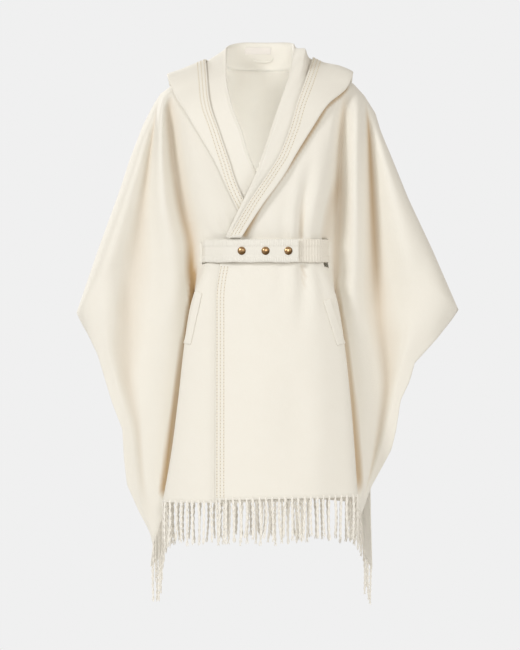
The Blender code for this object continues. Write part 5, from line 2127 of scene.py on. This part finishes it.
@dataclass(frozen=True)
class Fringe:
    """Strands of two twisted yarns below a hem."""

    yarn: float = 0.0017
    spread: float = 0.0016
    twist: float = 0.026
    rings: int = 22
    sides: int = 6

    def build(self, name: str, node: str, hem: Array, pitch: float, seed: int) -> Object:
        """Make the fringe of one hem.

        Args:
            name: Name of the piece.
            node: Solid that it stands for.
            hem: Hem points with their ways down and normals.
            pitch: Distance between strands.
            seed: Seed of the strands.

        Returns:
            The piece.
        """
        chance = random.Random(seed)
        keys = run_lengths(hem[:, :3])
        count = int((keys[-1] - STRAND_WIDTH - 0.002) / pitch) + 1
        margin = (keys[-1] - (count - 1) * pitch) / 2
        build = MeshBuild()
        for k in range(count):
            where = min(max(margin + k * pitch + chance.uniform(-0.0012, 0.0012), 0.003), keys[-1] - 0.003)
            ahead = read_at(where + 0.002, keys, hem[:, :3])
            behind = read_at(where - 0.002, keys, hem[:, :3])
            self.strand(build, read_at(where, keys, hem), ahead - behind, chance)
        piece = build.piece(name, Finish.YARN, "fringe")
        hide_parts(node)
        LOG.info("%s: %d strands, %d faces", name, count, len(piece.data.polygons))
        return piece

    def strand(self, build: MeshBuild, place: Array, along: Array, chance: random.Random) -> None:
        """Add one strand.

        Args:
            build: Build that takes it.
            place: Root point, way down and normal.
            along: Way of the hem.
            chance: Source of its differences.
        """
        root = place[:3]
        along = unit(along)
        out = unit(place[6:] - along * (place[6:] @ along))
        length = STRAND_LENGTH * chance.uniform(0.94, 1.1)
        lean = along * chance.uniform(-0.0045, 0.0045) + out * chance.uniform(-0.002, 0.004)
        bend = along * chance.uniform(-0.0026, 0.0026) + out * chance.uniform(-0.001, 0.001)
        phase = chance.uniform(0.0, math.tau)
        twist = self.twist * chance.uniform(0.8, 1.3)
        thick = chance.uniform(0.9, 1.1)
        angles = [math.tau * k / self.sides for k in range(self.sides + 1)]
        spokes = [along * math.cos(angle) + out * math.sin(angle) for angle in angles]
        for half in (0.0, math.pi):
            rings = []
            for ring in range(self.rings):
                share = ring / (self.rings - 1)
                drop = share * (length + 0.004) - 0.004
                centre = root + np.array((0.0, 0.0, -drop))
                centre = centre + lean * max(share, 0.0) ** 1.4 + bend * math.sin(math.pi * share)
                turn = phase + half + math.tau * drop / twist
                part = self.spread * (0.55 + 0.45 * step(np.array(share * 5.0))) * (1.0 - 0.25 * share)
                loose = 1.0 + 0.9 * max(share - 0.86, 0.0) / 0.14
                centre = centre + (along * math.cos(turn) + out * math.sin(turn) * 0.75) * part * loose
                size = self.yarn * thick * (1.0 - 0.28 * share) * (0.55 if ring == self.rings - 1 else 1.0)
                rings.append([centre + size * spoke for spoke in spokes])
            flat = np.full((self.rings, self.sides + 1, 2), root[0] + root[2])
            flat[..., 0] = np.linspace(0.0, length, self.rings)[:, None]
            flat[..., 0] += np.linspace(0.0, 0.008, self.sides + 1)
            build.tube(np.array(rings), flat)


@dataclass(frozen=True)
class Studio:
    """Pale floor, soft lights, and the camera that the photograph shows."""

    distance: float = 12.0
    centre: tuple[float, float] = (-0.01, -0.5)
    frame_height: float = 1.3
    floor_z: float = -1.25

    def build(self) -> None:
        """Make the floor, the light and the camera."""
        bpy.context.scene.view_settings.view_transform = "Standard"
        self.add_floor()
        self.add_light()
        self.add_camera()

    def add_floor(self) -> None:
        """Round pale floor below the cape."""
        bpy.ops.object.select_all(action="DESELECT")
        bpy.ops.mesh.primitive_circle_add(
            vertices=96, radius=1.5, fill_type="NGON", location=(0.0, 0.0, self.floor_z)
        )
        floor = bpy.context.object
        floor.name = "studio_floor"
        material, wiring, shader = new_material("studio floor", (0.8, 0.8, 0.8))
        place = wiring.add("TexCoord").outputs["Object"]
        cloud = wiring.noise(place, 3.0)
        colour = wiring.mixed(cloud, (0.78, 0.78, 0.78, 1.0), (0.82, 0.82, 0.82, 1.0))
        wiring.feed(shader, {"Base Color": colour, "Roughness": 0.9})
        floor.data.materials.append(material)

    def add_light(self) -> None:
        """Even pale surroundings and five soft lights."""
        world = bpy.data.worlds.new("studio")
        bpy.context.scene.world = world
        world.use_nodes = True
        tree = world.node_tree
        tree.nodes.clear()
        wiring = Wiring(tree)
        seen = wiring.add("Background", {"Color": (0.871, 0.871, 0.871, 1.0), "Strength": 1.0})
        cast = wiring.add("Background", {"Color": (1.0, 0.925, 0.81, 1.0), "Strength": 0.45})
        path = wiring.add("LightPath")
        seen_by_camera = path.outputs["Is Camera Ray"]
        mix = wiring.add("MixShader", {0: seen_by_camera, 1: cast.outputs[0], 2: seen.outputs[0]})
        end = tree.nodes.new("ShaderNodeOutputWorld")
        tree.links.new(mix.outputs[0], end.inputs["Surface"])
        for name, place, size, power in (
            ("key", (-2.6, -2.6, 1.1), 1.0, 58.0),
            ("front", (0.7, -4.6, 0.35), 1.2, 45.0),
            ("side", (2.6, -2.0, 0.4), 1.6, 20.0),
            ("behind", (-2.2, 2.8, 1.3), 1.2, 85.0),
            ("inside", (0.0, -0.03, -0.25), 0.1, 0.22),
        ):
            light = bpy.data.lights.new(name, "AREA")
            light.shape = "DISK"
            light.size = size
            light.energy = power
            light.color = (0.96, 0.98, 1.0)
            lamp = bpy.data.objects.new(name, light)
            bpy.context.scene.collection.objects.link(lamp)
            lamp.location = place
            lamp.visible_camera = False
            aim = Vector((0.0, 0.08, 0.0) if name == "inside" else (0.0, 0.0, -0.45)) - Vector(place)
            lamp.rotation_euler = aim.to_track_quat("-Z", "Y").to_euler()

    def add_camera(self) -> None:
        """Camera in front of the cape, level, with a long lens."""
        data = bpy.data.cameras.new("front")
        data.sensor_fit = "VERTICAL"
        data.sensor_height = 36.0
        data.lens = 36.0 * self.distance / self.frame_height
        data.clip_end = 100.0
        camera = bpy.data.objects.new("front", data)
        bpy.context.scene.collection.objects.link(camera)
        camera.location = (self.centre[0], -self.distance, self.centre[1])
        camera.rotation_euler = (math.pi / 2, 0.0, 0.0)
        bpy.context.scene.camera = camera


def main() -> None:
    """Build every piece in order and report it."""
    logging.basicConfig(level=logging.INFO, format="%(name)s %(message)s")
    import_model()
    nap_group()
    rib_group()
    for finish in FINISHES:
        finish.material()
    Studio().build()
    panels = Panels()
    panels.draft()
    panels.build()
    belt = Belt()
    path, runs = belt.build(panels.left, panels.right)
    tab = round(len(path) * (BELT_STATIONS - TAB_STATIONS) / BELT_STATIONS)
    for number in range(1, len(SNAP_X) + 1):
        Snap().build(number, path, runs, tab)
    Welts().build("welt_left_cloth", "welt_left", panels.left, LEFT_WELT)
    Welts().build("welt_right_cloth", "welt_right", panels.right, RIGHT_WELT)
    NeckPieces().build(panels.hood)
    trims: dict[str, list] = {"front_left": [], "front_right": [], "back_panel": [], "hood": []}
    for key, grid, out, pitch, seed in (
        ("front_left", panels.left, panels.left_out, FRONT_PITCH, 3),
        ("front_right", panels.right, panels.right_out, FRONT_PITCH, 5),
        ("back_panel", panels.back, panels.back_out, BACK_PITCH, 7),
    ):
        node = "fringe_" + key.split("_")[-1].replace("panel", "back")
        trims[key].append(Fringe().build(node + "_yarn", node, hem_points(grid, out), pitch, seed))
    hem = Hemstitch()
    below_belt = panels.left[:, 0, 2] < BELT_TOP - BELT_HEIGHT - 0.004
    trims["front_left"] += hem.stitch("front_left", [(panels.left[below_belt], panels.left_out[below_belt])])
    hood_out = grid_normals(panels.hood)
    trims["hood"] += hem.stitch("hood", [(panels.hood[:, ::-1], -hood_out[:, ::-1])])


if __name__ == "__main__":
    main()
